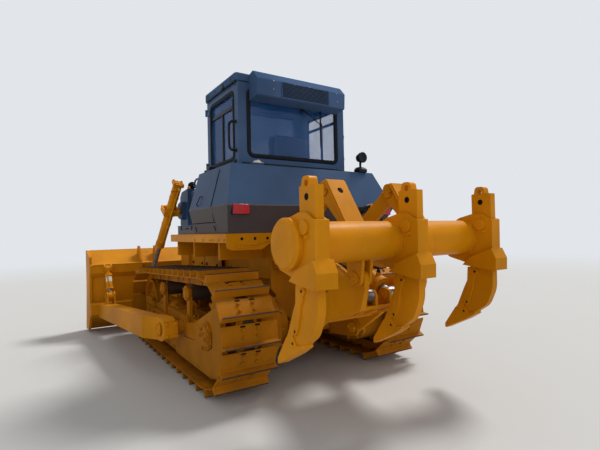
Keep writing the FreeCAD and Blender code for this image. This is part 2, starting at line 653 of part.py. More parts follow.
# Fenders, tank and consoles
top = ("fender_top - fender_plate", "fender_top")
skirt_z = ("fender_top - fender_skirt", "fender_top")
beside = "hood_half + panel_gap"
platform = box("FenderPlate", ("fender_rear", "hood_rear - 5"), ("hull_half + 20", "fender_half"), top)
platform_nose = box("FenderPlateNose", ("hood_rear - 10", "fender_front"), (beside, "fender_half"), top)
skirt = box("FenderSkirt", ("fender_rear", "fender_front"), ("fender_half - fender_plate", "fender_half"),
            skirt_z)
ends = [box("FenderRear", ("fender_rear", "fender_rear + fender_plate"), ("hull_half + 20", "fender_half"),
            skirt_z), box("FenderNose", ("fender_front - fender_plate", "fender_front"),
                          (beside, "fender_half"), skirt_z)]
brackets = [box(f"FenderLeg{k}", (x, x + 30), (inner, "fender_half - 60"), (1290, "fender_top - 5"))
            for k, x, inner in ((1, -900, "hull_half + 20"), (2, -100, "hull_half + 20"), (3, 560, beside))]
inner_web = box("FenderWeb", ("hull_rear + 5", "case_front"), ("hull_half + fit_gap", "hull_half + 30"),
                (1060, "fender_top - 5"))
deck = box("Deck", ("fender_rear", S.case_front), ("-hull_half - 6", "hull_half + 6"),
           ("fender_top - 60", "fender_top"))
deck_posts = [box(f"DeckPost{k}", (x, x + 60), (y, y + 120), ("hull_top", "fender_top - 30"))
              for k, x, y in ((1, -1000, -400), (2, -1000, 280), (3, -500, -400), (4, -500, 280))]
cab_feet = [box(f"CabFoot{k}", (x, x + 120), (y, y + 120), ("fender_top - 10", "cab_floor - fit_gap"))
            for k, x, y in ((1, -860, -700), (2, -860, 580), (3, 20, -700), (4, 20, 580))]
rear_holes = [rod(f"SkirtHole{k + 1}", "y", "skirt_hole",
                  ("fender_half - fender_plate - 5", "fender_half + 5"),
                  (x, "fender_top - fender_skirt + 24")) for k, x in enumerate((-788, -569, -296))]
vents = [rod(f"SkirtVent{k + 1}", "y", "skirt_vent", ("fender_half - fender_plate - 5", "fender_half + 5"),
             (x, "fender_top - fender_skirt + 28")) for k, x in enumerate((82, 258, 425))]
fender = cut("Fender", join("FenderWhole", platform, platform_nose, skirt, *ends, *brackets, inner_web),
             *rear_holes, *vents)
node("fenders", join("FenderWeldment", deck, *deck_posts, *cab_feet, fender, mirrored("FenderRight", fender)))


def tank_section(name, x):
    """The six-sided cross-section that tank and consoles share."""
    low = S.fender_top + S.fit_gap
    return panel(name, x, [(-S.tank_half_foot, low), (S.tank_half_foot, low),
                           (S.tank_half_crease, S.tank_crease), (S.tank_half_top, S.tank_top),
                           (-S.tank_half_top, S.tank_top), (-S.tank_half_crease, S.tank_crease)])


foot = S.fender_top + S.fit_gap
rear_line = [(S.tank_rear_foot, foot), (S.tank_rear_crease, S.tank_crease), (S.tank_rear_top, S.tank_top)]
core = plate("TankCore", ("-cab_half - 5", "cab_half + 5"),
             rear_line + [(S.tank_front, S.tank_top), (S.tank_front, foot)])
seam = [(S.seam_top, S.tank_top), (S.seam_crease, S.tank_crease), (S.seam_crease, foot)]
wings = [plate(f"TankWing{k}", y, rear_line + seam)
         for k, y in (("Left", ("cab_half + 5", "tank_half_crease + 10")),
                      ("Right", across(("cab_half + 5", "tank_half_crease + 10"))))]
filler = slab("FillerCap", ("tank_top - 5", "tank_top + 22"),
              [(S.tank_rear_top + 10, 552, 48), (S.tank_rear_top + 112, 552, 48),
               (S.tank_rear_top + 112, 700, 48), (S.tank_rear_top + 10, 700, 48)])
node("fuel_tank", join("TankWithFiller", shared("FuelTank", join("TankSides", core, *wings),
                                                tank_section("TankSection", (-1500, -600))), filler))
console_side = plate("ConsoleSide", ("cab_half + 12", "tank_half_crease + 10"),
                     [(S.seam_crease + S.panel_gap, foot), (S.seam_crease + S.panel_gap, S.tank_crease),
                      (S.seam_top + S.panel_gap, S.tank_top), (S.console_front_top, S.tank_top),
                      (S.console_front, S.tank_crease), (S.console_front, foot)])
console = shared("Console", console_side,
                 tank_section("ConsoleSection", ("seam_crease - 100", "console_front_top + 100")))
toolbox = box("ToolBox", ("console_front + panel_gap", "console_front + 700"),
              ("cab_half + 40", "tank_half_crease - toolbox_in"), ("fender_top + fit_gap", "fender_top + 105"))
pair("consoles", group("ConsoleWithToolBox", console, toolbox))

# Hood and radiator guard
skin = [(S.hood_half, S.hood_bottom), (S.hood_half, S.hood_top - 60, 50),
        (S.hood_half - 110, S.hood_top, 40), (-S.hood_half + 110, S.hood_top, 40),
        (-S.hood_half, S.hood_top - 60, 50), (-S.hood_half, S.hood_bottom)]
t = S.hood_sheet
lining = [(-S.hood_half + t, S.hood_bottom), (-S.hood_half + t, S.hood_top - 60 - t, 38),
          (-S.hood_half + 110, S.hood_top - t, 28), (S.hood_half - 110, S.hood_top - t, 28),
          (S.hood_half - t, S.hood_top - 60 - t, 38), (S.hood_half - t, S.hood_bottom)]
node("hood", panel("Hood", ("hood_rear", "guard_rear - fit_gap"), skin + lining))
guard = plate("RadiatorGuard", ("-radiator_half", "radiator_half"),
              [(S.guard_rear, S.guard_foot), (S.guard_front, S.guard_foot),
               (S.guard_front, S.hood_nose - 60, 50), (S.guard_front - 90, S.hood_nose + 20, 50),
               (S.guard_rear, S.hood_top)])
core_cut = box("GuardBore", ("guard_rear - 10", "guard_front + 10"),
               ("-radiator_half + 60", "radiator_half - 60"), ("guard_foot + 90", "hood_nose - 150"))
brackets = [plate(f"LiftBracket{k}", y, [(S.lift_x - 110, S.lift_z - 150, 40),
                                         (S.lift_x + 110, S.lift_z - 110, 90),
                                         (S.lift_x + 110, S.lift_z + 110, 90),
                                         (S.lift_x - 110, S.lift_z + 150, 40)])
            for k, y in (("Left", ("radiator_half - 5", "radiator_half + 70")),
                         ("Right", across(("radiator_half - 5", "radiator_half + 70"))))]
bores = [rod(f"LiftBracketBore{k}", "y", "55 + pin_gap", y, ("lift_x", "lift_z"))
         for k, y in (("Left", ("radiator_half + 19", "radiator_half + 80")),
                      ("Right", across(("radiator_half + 19", "radiator_half + 80"))))]
node("radiator_guard", cut("RadiatorGuardFrame", join("GuardWithBrackets", guard, *brackets), core_cut,
                           *bores))
slats = [box(f"Slat{k}", ("guard_front - 40", "guard_front - 10"),
             ("-radiator_half + 60 + fit_gap", "radiator_half - 60 - fit_gap"), (z, z + 26))
         for k, z in enumerate(range(930, 2060, 90))]
bars = [box(f"GrilleBar{k}", ("guard_front - 60", "guard_front - 20"), (y, y + 30),
            ("guard_foot + 90 + fit_gap", "hood_nose - 150 - fit_gap"))
        for k, y in enumerate((-499, -15, 469))]
node("grille", join("Grille", *slats, *bars))
node("radiator_core", box("RadiatorCore", ("guard_rear + 60", "guard_rear + 200"),
                          ("-radiator_half + 60 + fit_gap", "radiator_half - 60 - fit_gap"),
                          ("guard_foot + 90 + fit_gap", "hood_nose - 150 - fit_gap")))
stack = rod("ExhaustPipe", "z", 62, ("hood_top + fit_gap", "hood_top + stack_rise"), (980, 180))
muffler = rod("Muffler", "z", 120, ("hood_top + fit_gap", "hood_top + muffler_rise"), (980, 180))
node("exhaust", join("Exhaust", stack, muffler))
bowl = rod("PreCleanerPipe", "z", 62, ("hood_top + fit_gap", "hood_top + bowl_high - 20"), (640, -170))
dome = rod("PreCleanerBowl", "z", 135, ("hood_top + bowl_low", "hood_top + bowl_high"), (640, -170))
node("pre_cleaner", softened("PreCleanerRound", join("PreCleaner", bowl, dome), 30,
                             lambda end: end.z > S.hood_top + S.bowl_high - 1))

# Cab
floor = box("CabFloor", ("cab_rear", "dash_front"), ("-cab_half", "cab_half"),
            ("cab_floor", "cab_floor + cab_wall"))
back_sill, back_head = S.tank_top + S.window_rise, S.cab_eaves - S.window_head
rear_window = [(-610, back_sill, 60), (610, back_sill, 60), (610, back_head, 60), (-610, back_head, 60)]
rear_wall = panel("CabRearWall", ("cab_rear", "cab_rear + cab_wall"),
                  [(-S.cab_half, S.cab_floor), (S.cab_half, S.cab_floor), (S.cab_half, S.cab_eaves),
                   (-S.cab_half, S.cab_eaves)], rear_window)
front_sill, front_head = S.hood_top + S.screen_rise, S.cab_eaves - S.screen_head
front_window = [(-560, front_sill, 60), (560, front_sill, 60), (560, front_head, 60), (-560, front_head, 60)]
dash_top = S.hood_top + S.dash_rise
front_wall = panel("CabFrontWall", ("cab_front - cab_wall", "cab_front"),
                   [(-S.cab_half, dash_top - 40), (S.cab_half, dash_top - 40), (S.cab_half, S.cab_eaves),
                    (-S.cab_half, S.cab_eaves)], front_window)
dash = panel("CabDashWall", ("dash_front - cab_wall", "dash_front"), [
    (-S.cab_half, S.cab_floor), (S.cab_half, S.cab_floor), (S.cab_half, dash_top), (-S.cab_half, dash_top)])
dash_cover = box("CabDashTop", ("cab_front - cab_wall", "dash_front"), ("-cab_half", "cab_half"),
                 (dash_top - 40, dash_top))
sill, top = S.tank_top + S.door_sill, S.cab_eaves - S.door_top
step = S.cab_floor + S.door_foot
g = S.door_gap
doorway = [(S.door_rear - g, sill - g, 30), (S.door_waist - g, sill - g), (S.door_waist - g, step - g, 30),
           (S.door_front + g, step - g, 30), (S.door_front + g, top + g, 40), (S.door_rear - g, top + g, 40)]
side_outline = [(S.cab_rear, S.cab_floor), (S.dash_front, S.cab_floor), (S.dash_front, dash_top),
                (S.cab_front, dash_top), (S.cab_front, S.cab_eaves), (S.cab_rear, S.cab_eaves)]
sides = [plate(f"CabSide{k}", y, side_outline, doorway)
         for k, y in (("Left", ("cab_half - cab_wall", "cab_half")),
                      ("Right", across(("cab_half - cab_wall", "cab_half"))))]
head = box("CabHeader", ("cab_rear", "cab_front"), ("-cab_half", "cab_half"), ("cab_eaves - 25", "cab_eaves"))
head_cut = box("CabHeaderBore", ("cab_rear + 60", "cab_front - 60"), ("-cab_half + 60", "cab_half - 60"),
               ("cab_eaves - 30", "cab_eaves + 5"))

# Each door turns on two hinges; the lower knuckle of a hinge belongs to the door, the upper one to the cab.
hinge_at = ("cab_front", "cab_half + hinge_out")
door_leaves, cab_leaves = [], []
for k, z in enumerate((sill + 60, top - 160)):
    for leaves, low, x in ((door_leaves, z, ("door_front - 60", "cab_front")),
                           (cab_leaves, z + S.hinge_tall + S.fit_gap, ("cab_front - 30", "cab_front"))):
        kind = "Door" if leaves is door_leaves else "Cab"
        span = (low, low + S.hinge_tall)
        leaves.append(rod(f"{kind}Knuckle{k}", "z", "hinge_radius", span, hinge_at))
        leaves.append(box(f"{kind}Leaf{k}", x, ("cab_half + 6", "cab_half + 14"), span))
    door_leaves.append(box(f"DoorLeafFoot{k}", ("door_front - 60", "door_front - 4"),
                           ("cab_half - 5", "cab_half + 8"), (z, z + S.hinge_tall)))
    cab_leaves.append(box(f"CabLeafFoot{k}", ("cab_front - 28", "cab_front - 2"),
                          ("cab_half - 5", "cab_half + 8"),
                          (z + S.hinge_tall + S.fit_gap, z + 2 * S.hinge_tall + S.fit_gap)))
cab_hinges = join("CabHinges", *cab_leaves)
node("cab_shell", join("CabShell", floor, rear_wall, front_wall, dash, dash_cover, *sides,
                       cut("CabHeaderRing", head, head_cut), cab_hinges,
                       mirrored("CabHingesRight", cab_hinges)))
roof = slab("Roof", ("cab_eaves + fit_gap", "cab_eaves + roof_thick"), [
    (S.cab_rear, -S.cab_half - S.roof_over, 40), (S.cab_front + S.roof_over, -S.cab_half - S.roof_over, 60),
    (S.cab_front + S.roof_over, S.cab_half + S.roof_over, 60), (S.cab_rear, S.cab_half + S.roof_over, 40)])
node("cab_roof", softened("RoofRound", roof, 28, lambda end: end.z > S.cab_eaves + S.roof_thick - 1))
door_outline = [(S.door_rear, sill, 30), (S.door_waist, sill), (S.door_waist, step, 30),
                (S.door_front, step, 30), (S.door_front, top, 40), (S.door_rear, top, 40)]
door_window = [(S.door_rear + 70, sill + 80, 60), (S.door_front - 70, sill + 80, 60),
               (S.door_front - 70, top - 70, 60), (S.door_rear + 70, top - 70, 60)]
door = plate("DoorPanel", ("cab_half - cab_wall + 5", "cab_half"), door_outline, door_window)
both("door", join("Door", door, *door_leaves))


def pane(outline, shrink):
    """A window opening's outline drawn in by a gap."""
    xs, zs = [r[0] for r in outline], [r[1] for r in outline]
    mx, mz = sum(xs) / len(xs), sum(zs) / len(zs)
    return [(x + math.copysign(shrink, mx - x), z + math.copysign(shrink, mz - z), r - shrink)
            for x, z, r in outline]


glass_y = ("cab_half - cab_wall / 2", "cab_half - cab_wall / 2 + glass_thick")
both("door_glass", plate("DoorGlass", glass_y, pane(door_window, S.fit_gap)))
cab_glass = [panel("RearGlass", ("cab_rear + cab_wall / 2", "cab_rear + cab_wall / 2 + glass_thick"),
                   pane(rear_window, S.fit_gap)),
             panel("FrontGlass", ("cab_front - cab_wall / 2", "cab_front - cab_wall / 2 + glass_thick"),
                   pane(front_window, S.fit_gap))]
node("cab_glass", group("CabGlass", *cab_glass))
cooler_top, cooler_back = S.cab_eaves + S.cooler_over, S.cab_rear - S.fit_gap
cooler_foot = cooler_top - S.cooler_tall
cooler = plate("CoolerBody", ("-cooler_half", "cooler_half"), [
    (cooler_back - 195, cooler_foot + 20, 20), (cooler_back, cooler_foot), (cooler_back, cooler_top - 25),
    (cooler_back - 110, cooler_top, 20), (cooler_back - 205, cooler_top - 105, 20)])
louvres = [box(f"Louvre{k}", (cooler_back - 225, f"{cooler_back - 195} + louvre_deep"),
               ("-cooler_half * 0.6", "cooler_half * 0.5"),
               (cooler_foot + 30 + k * S.louvre_pitch,
                f"{cooler_foot + 30 + k * S.louvre_pitch} + louvre_tall")) for k in range(6)]
node("air_conditioner", cut("CoolerLouvred", cooler, *louvres))
seat_top, back_top_z = S.cab_floor + S.seat_height, S.cab_eaves - S.seat_room
seat_base = box("SeatBase", (-640, -240), (-210, 210), ("cab_floor + cab_wall + fit_gap", "cab_floor + seat_height"))
cushion = box("SeatCushion", (-680, -180), (-260, 260),
              ("cab_floor + seat_height - 20", "cab_floor + seat_height + 120"))
back = plate("SeatBack", (-250, 250), [
    (-720, seat_top + 80, 30), (-580, seat_top + 80), (-680, back_top_z, 40), (-800, back_top_z, 40)])
node("seat", join("Seat", seat_base, cushion, back))
node("control_console", box("Controls", (-620, -120), (330, 600),
                            ("cab_floor + cab_wall + fit_gap", "cab_floor + 620")))
lamp_foot = box("LampFoot", (-1175, -1115), (-830, -740), ("tank_top + fit_gap", "tank_top + 65"))
lamp_post = box("LampPost", (-1155, -1135), (-800, -780), ("tank_top + 55", "tank_top + lamp_rise - 40"))
lamp_body = turned("LampBody", [(-1185, 56), (-1176, 64), (-1166, 64), (-1164, 58), (-1118, 48), (-1100, 26)],
                   0, -790, "tank_top + lamp_rise", "XZ_Plane")
node("work_lamp", join("WorkLamp", lamp_foot, lamp_post, lamp_body))

# Blade, push arms, braces
bb, bt, bf, br = S.blade_bottom, S.blade_top, S.blade_front, S.blade_rear
lip, crown = V(bf - 118, 0, bb + S.edge_height - 12), V(bf - 20, 0, bt)
chord = crown - lip
bow = chord.Length ** 2 / (8 * S.blade_dip) + S.blade_dip / 2
bend = math.asin(chord.Length / 2 / bow)
hollow = (lip + crown) / 2 + V(-chord.z, 0, chord.x).normalize() * (chord.Length / 2 * math.tan(bend))
face = [(bf, bb), (lip.x, lip.z), (hollow.x, hollow.z, bow * 0.999), (crown.x, crown.z)]
blade_side = plate("BladeBox", ("-blade_half", "blade_half"),
                   face + [(bf - 80, bt + 5), (br + 90, 1128), (br, 1110, 20), (br, 980, 20),
                           (br + 90, 900), (br + 90, 520), (br - 60, 505, 20), (br - 60, 330, 20),
                           (br + 130, 250), (bf - 60, bb)])
fall = (V(bf, 0, bb) - lip).normalize()
ahead_of = V(-fall.z, 0, fall.x) * S.edge_thick


def edge_side(drop, rise, thick):
    """The side view of a wear plate bolted on the blade's lower front."""
    low, high = V(bf, 0, bb) - fall * drop, lip - fall * rise
    return [(low.x, low.z), (low.x + ahead_of.x * thick, low.z + ahead_of.z * thick),
            (high.x + ahead_of.x * thick, high.z + ahead_of.z * thick), (high.x, high.z)]


edges = [plate("CuttingEdge", ("-blade_half + end_bit + panel_gap", "blade_half - end_bit - panel_gap"),
               edge_side(12, -8, 1.0))]
edges += [plate(f"EndBit{k}", y, edge_side(8, 40, 1.2))
          for k, y in (("Left", ("blade_half - end_bit", "blade_half + 5")),
                       ("Right", across(("blade_half - end_bit", "blade_half + 5"))))]
end_plates = [plate(f"BladeEnd{k}", y, [(bf + 20, bb - 5, 10), (bf - 10, 400, 60), (bf - 60, 800, 60),
                                        (bf + 10, bt + 10, 20), (br + 60, 1240, 20), (br + 60, 300),
                                        (bf - 300, 60, 30)])
              for k, y in (("Left", ("blade_half - 30", "blade_half + 5")),
                           ("Right", across(("blade_half - 30", "blade_half + 5"))))]
head_at = V(S.lift_x, S.lift_y, S.lift_z)
eye_at = V(S.lift_eye_x, S.lift_eye_y, S.lift_eye_z)
line = (eye_at - head_at).normalize()
flat = V(line.x, 0, line.z).normalize()
ahead = V(-flat.z, 0, flat.x) * (S.lift_barrel + S.gland_over + S.eye_drift)
ribs, pockets = [], []
for side, sign in (("Left", 1), ("Right", -1)):
    for k, (low, high) in enumerate(((S.rib_gap / 2, S.rib_gap / 2 + 25),
                                     (-S.rib_gap / 2 - 25, -S.rib_gap / 2))):
        y = sorted((sign * (S.rib_y + low), sign * (S.rib_y + high)))
        ribs.append(plate(f"BladeRib{k}{side}", y,
                          [(br + 150, 440), (br + 20, 520, 60), (br + 20, 1150), (br + 150, 1390, 30),
                           (br + 250, 1390, 30), (br + 330, 1180), (br + 330, 440)]))
    y = sorted((sign * (S.rib_y - S.rib_gap / 2), sign * (S.rib_y + S.rib_gap / 2)))
    near, far = eye_at + ahead, eye_at + ahead - flat * 620
    pockets.append(plate(f"EyePocket{side}", y,
                         [(br - 80, S.lift_eye_z - 190), (S.lift_eye_x + 60, S.lift_eye_z - 150, 60),
                          (near.x + 20, near.z - 90, 60), (near.x, near.z), (far.x, far.z),
                          (br - 80, far.z)]))
arm_front_out = S.blade_half - S.arm_inset
brace_at = arm_front_out - S.brace_y
brace_head = V(S.blade_rear - S.brace_head_x, brace_at, S.brace_head_z)
lug_side = [(S.blade_rear + 10, brace_head.z - 80), (S.blade_rear + 10, brace_head.z + 80),
            (brace_head.x - S.brace_eye, brace_head.z + S.brace_eye, S.brace_eye * 0.9),
            (brace_head.x - S.brace_eye, brace_head.z - S.brace_eye, S.brace_eye * 0.9)]
lugs = []
for side, sign in (("Left", 1), ("Right", -1)):
    for k, low in enumerate((S.brace_lug, -S.brace_lug - S.brace_plate)):
        y = sorted((sign * (brace_at + low), sign * (brace_at + low + S.brace_plate)))
        lugs.append(plate(f"BraceLug{k}{side}", y, lug_side))
    y = sorted((sign * (brace_at - S.brace_lug - S.brace_plate - 6),
                sign * (brace_at + S.brace_lug + S.brace_plate + 6)))
    lugs.append(rod(f"BraceHeadPin{side}", "y", "brace_pin", y, (brace_head.x, brace_head.z)))
blade = cut("Blade", join("BladeWeldment", blade_side, *edges, *end_plates, *ribs, *lugs), *pockets)
node("blade", blade)

out = [(S.trunnion_x, S.trunnion_out + 10), (S.arm_knee_x, S.arm_knee_out),
       (S.blade_rear - 60 - S.fit_gap, arm_front_out)]
wd = S.arm_width
arm_plan = slab("ArmPlan", (100, 900), [(S.trunnion_x - 120, S.trunnion_out + 10 - 20, 30),
                                        (S.trunnion_x + 60, S.trunnion_out + 10), out[1], out[2],
                                        (out[2][0], out[2][1] - wd), (out[1][0], out[1][1] - wd),
                                        (S.trunnion_x + 60, S.trunnion_out - 140),
                                        (S.trunnion_x - 120, S.trunnion_out - 140, 30)])
ah = S.arm_height / 2
arm_side = plate("ArmSide", ("trunnion_out - 300", "blade_half - arm_inset + 50"),
                 [(S.trunnion_x - 125, S.trunnion_z - ah, 90), (S.arm_knee_x, S.trunnion_z - ah),
                  (S.blade_rear - 60 - S.fit_gap, 290), (S.blade_rear - 60 - S.fit_gap, 505),
                  (S.arm_knee_x, S.trunnion_z + ah), (S.trunnion_x - 125, S.trunnion_z + ah, 90)])
brace_foot = V(S.blade_rear - S.brace_foot_x, brace_at, S.brace_foot_z)
fork_side = [(brace_foot.x - 110, brace_foot.z - 160), (brace_foot.x + 110, brace_foot.z - 160),
             (brace_foot.x + 62, brace_foot.z + 65, 50), (brace_foot.x - 62, brace_foot.z + 65, 50)]
fork = [plate(f"BraceFork{k}", (brace_at + low, brace_at + low + S.brace_plate), fork_side)
        for k, low in enumerate((-S.brace_lug - S.brace_plate, S.brace_lug))]
reach = S.brace_lug + S.brace_plate + 6
fork.append(rod("BraceFootPin", "y", "brace_pin", (brace_at - reach, brace_at + reach),
                (brace_foot.x, brace_foot.z)))
arm = cut("PushArm", join("PushArmWeldment", shared("PushArmBody", arm_plan, arm_side), *fork),
          rod("TrunnionHole", "y", 70.5, ("trunnion_out - 400", "trunnion_out - 22"),
              ("trunnion_x", "trunnion_z")))
pair("push_arms", arm)
brace_way = (brace_head - brace_foot).normalize()


def brace(name, tube_radius, neck_radius, tube, collars):
    """A brace between its pins, with a tube over a span from the foot and collars (start, end, radius)."""
    half = (f"{brace_at} - brace_lug + fit_gap", f"{brace_at} + brace_lug - fit_gap")
    body = join(name + "Body", tube_between(name + "Tube", tube_radius, brace_foot + brace_way * tube[0],
                                            brace_foot + brace_way * tube[1]),
                *[tube_between(f"{name}Collar{k}", wide, brace_foot + brace_way * low,
                               brace_foot + brace_way * high)
                  for k, (low, high, wide) in enumerate(collars)],
                tube_between(name + "Neck", neck_radius, brace_foot + brace_way * 30,
                             brace_head - brace_way * 30),
                rod(name + "FootEye", "y", "brace_eye", half, (brace_foot.x, brace_foot.z)),
                rod(name + "HeadEye", "y", "brace_eye", half, (brace_head.x, brace_head.z)))
    return cut(name, body, *[rod(name + end, "y", "brace_pin + pin_gap", (brace_at - 60, brace_at + 60),
                                 (p.x, p.z))
                             for end, p in (("FootBore", brace_foot), ("HeadBore", brace_head))])


node("brace_left", brace("ScrewBrace", 44, 30, (120, 350), ((110, 142, 54), (330, 360, 54), (366, 380, 46))))
node("brace_right", mirrored("BraceRight",
                             brace("TiltCylinder", 58, 28, (100, 340), ((92, 112, 62), (318, 346, 66)))))

# Lift cylinders
def point(base, step):
    return tuple(base + line * step)


across_way = V(flat.z, 0, -flat.x)
tilt = FreeCAD.Rotation(V(0, 1, 0), math.degrees(math.atan2(flat.x, flat.z)))


def yoke_block(name, half_across, half_y, half_along):
    """A block about the lift cylinder's pivot, turned with the cylinder."""
    obj = DOC.addObject("Part::Box", name)
    obj.Length, obj.Width, obj.Height = 2 * half_across, 2 * half_y, 2 * half_along
    corner = tilt.multVec(V(-half_across, -half_y, -half_along))
    obj.Placement = FreeCAD.Placement(head_at + corner, tilt)
    return obj


r = S.lift_barrel
barrel = join("LiftBarrel", tube_between("LiftTube", "lift_barrel", point(head_at, -S.lift_above),
                                         point(head_at, S.lift_below)),
              tube_between("LiftCap", "lift_barrel + gland_over", point(head_at, -S.lift_above),
                           point(head_at, 50 - S.lift_above)),
              tube_between("LiftGland", "lift_barrel + gland_over", point(head_at, S.lift_below - 60),
                           point(head_at, S.lift_below + 12)),
              tube_between("LiftTrunnion", 32, tuple(head_at - across_way * (r + 40)),
                           tuple(head_at + across_way * (r + 40))))
bored = cut("LiftBarrelBored", barrel, tube_between("LiftBore", "lift_rod + pin_gap",
                                                    point(head_at, 30 - S.lift_above),
                                                    point(head_at, S.lift_below + 20)))
both("lift_barrel", bored)
rod_part = join("LiftRod", tube_between("LiftRodBar", "lift_rod", point(head_at, 320), point(eye_at, -40)),
                rod("LiftEye", "y", 80, ("lift_eye_y - eye_half", "lift_eye_y + eye_half"),
                    ("lift_eye_x", "lift_eye_z")))
both("lift_rod", rod_part)
ring_block = cut("LiftYokeRing", yoke_block("YokeOuter", r + 42, r + 52, 42),
                 yoke_block("YokeInner", r + 8, r + 24, 60))
yoke = cut("LiftYoke", join("LiftYokeBody", ring_block,
                            rod("YokeStub", "y", 55, ("radiator_half + 20", f"lift_y - {r + 40}"),
                                ("lift_x", "lift_z"))),
           tube_between("LiftYokeBore", 32.05, tuple(head_at - across_way * (r + 60)),
                        tuple(head_at + across_way * (r + 60))))
both("lift_yoke", yoke)

# Ripper
A = V(S.ripper_arm_x, 0, S.ripper_arm_z)
C = A + V(S.ripper_arm_dx, 0, S.ripper_arm_dz)
D = C + V(S.link_dx, 0, S.link_dz)
B = A + V(S.link_dx, 0, S.link_dz)
A_X, A_Z = "ripper_arm_x", "ripper_arm_z"
C_X, C_Z = "ripper_arm_x + ripper_arm_dx", "ripper_arm_z + ripper_arm_dz"
B_X, B_Z = "ripper_arm_x + link_dx", "ripper_arm_z + link_dz"
D_X, D_Z = "ripper_arm_x + ripper_arm_dx + link_dx", "ripper_arm_z + ripper_arm_dz + link_dz"
ARM_Y, LINK_Y = 350, 390
back = panel("MountPlate", (S.hull_rear - 20, S.hull_rear - S.fit_gap), [
    (-419, 430), (419, 430), (419, 900), (480, 960), (480, 1500), (-480, 1500), (-480, 960), (-419, 900)])
mount_parts = [back]
# Columns: the lugs' name, middle, inner face, outer face, end radius, foot below and above, pin and its place
for name, middle, near, far, end, below, above, pin, place in (
        ("Arm", ARM_Y, 28, 58, 90, 150, 140, A, (A_X, A_Z)),
        ("Link", LINK_Y, 28, 58, 75, 110, 110, B, (B_X, B_Z)),
        ("Cylinder", S.rcyl_y, 58, 83, 62, 90, 58, V(S.rcyl_x, 0, S.rcyl_z), ("rcyl_x", "rcyl_z"))):
    for side, m in (("Left", middle), ("Right", -middle)):
        for face, y in (("Outer", (m + near, m + far)), ("Inner", (m - far, m - near))):
            mount_parts.append(plate(f"Mount{name}{face}{side}", y, [
                (S.hull_rear - 10, pin.z - below), (S.hull_rear - 10, pin.z + above),
                (pin.x - end + 8, pin.z + end, end * 0.8), (pin.x - end + 8, pin.z - end, end * 0.8)]))
        mount_parts.append(rod(f"Mount{name}Pin{side}", "y", "pin_radius", (m - far - 6, m + far + 6), place))
node("ripper_mount", join("RipperMount", *mount_parts))

arm_profile = [(A.x + 92, A.z - 10, 85), (A.x + 20, A.z - 92, 60), (-1946, 740, 60), (-2430, 900, 60),
               (C.x - 92, C.z - 90, 60), (C.x - 92, C.z + 60, 60), (C.x + 90, C.z + 60, 50),
               (-2138, 1120, 120), (-1900, 960, 100), (A.x + 60, A.z + 110, 60)]
arm_sides = [plate(f"LowerArmSide{k}", y, arm_profile)
             for k, y in (("L", (ARM_Y - 25, ARM_Y + 25)), ("R", (-ARM_Y - 25, -ARM_Y + 25)))]
arm_cross = [plate("LowerArmPan", (-ARM_Y, ARM_Y), [(-1800, 700), (-2330, 880), (-2330, 910), (-1800, 730)]),
             plate("LowerArmWeb", (-ARM_Y, ARM_Y), [(-1790, 690), (-1790, 750), (-1820, 760), (-1820, 690)])]
for side in (1, -1):
    for k, (lo, hi) in enumerate(((50, 78), (-78, -50))):
        arm_cross.append(plate(f"ArmCylinderLug{k}{'L' if side > 0 else 'R'}",
                               (side * S.rcyl_y + lo, side * S.rcyl_y + hi),
                               [(S.rcyl_eye_x + 90, 800), (S.rcyl_eye_x + 70, S.rcyl_eye_z + 60, 55),
                                (S.rcyl_eye_x - 70, S.rcyl_eye_z + 60, 55), (S.rcyl_eye_x - 70, 870)]))
lower_arm = cut("LowerArm", join("LowerArmBody", *arm_sides, *arm_cross),
                rod("LowerArmBoreA", "y", "pin_radius + pin_gap", (-500, 500), (A_X, A_Z)),
                rod("LowerArmBoreC", "y", "pin_radius + pin_gap", (-500, 500), (C_X, C_Z)))
node("ripper_arm", lower_arm)


def link_outline(a, b, half):
    """The side view of a bar with round ends about two pins."""
    way = (b - a).normalize()
    aside = V(-way.z, 0, way.x)
    corners = (a - way * half - aside * half, b + way * half - aside * half, b + way * half + aside * half,
               a - way * half + aside * half)
    return [(p.x, p.z, half * 0.97) for p in corners]


links = []
for k, m in (("L", LINK_Y), ("R", -LINK_Y)):
    bar = plate(f"UpperLink{k}", (m - 24, m + 24), link_outline(B, D, 78))
    links.append(cut(f"UpperLinkBored{k}", bar,
                     rod(f"UpperLinkBoreB{k}", "y", "pin_radius + pin_gap", (m - 40, m + 40), (B_X, B_Z)),
                     rod(f"UpperLinkBoreD{k}", "y", "pin_radius + pin_gap", (m - 40, m + 40), (D_X, D_Z))))
node("ripper_links", group("UpperLinks", *links))

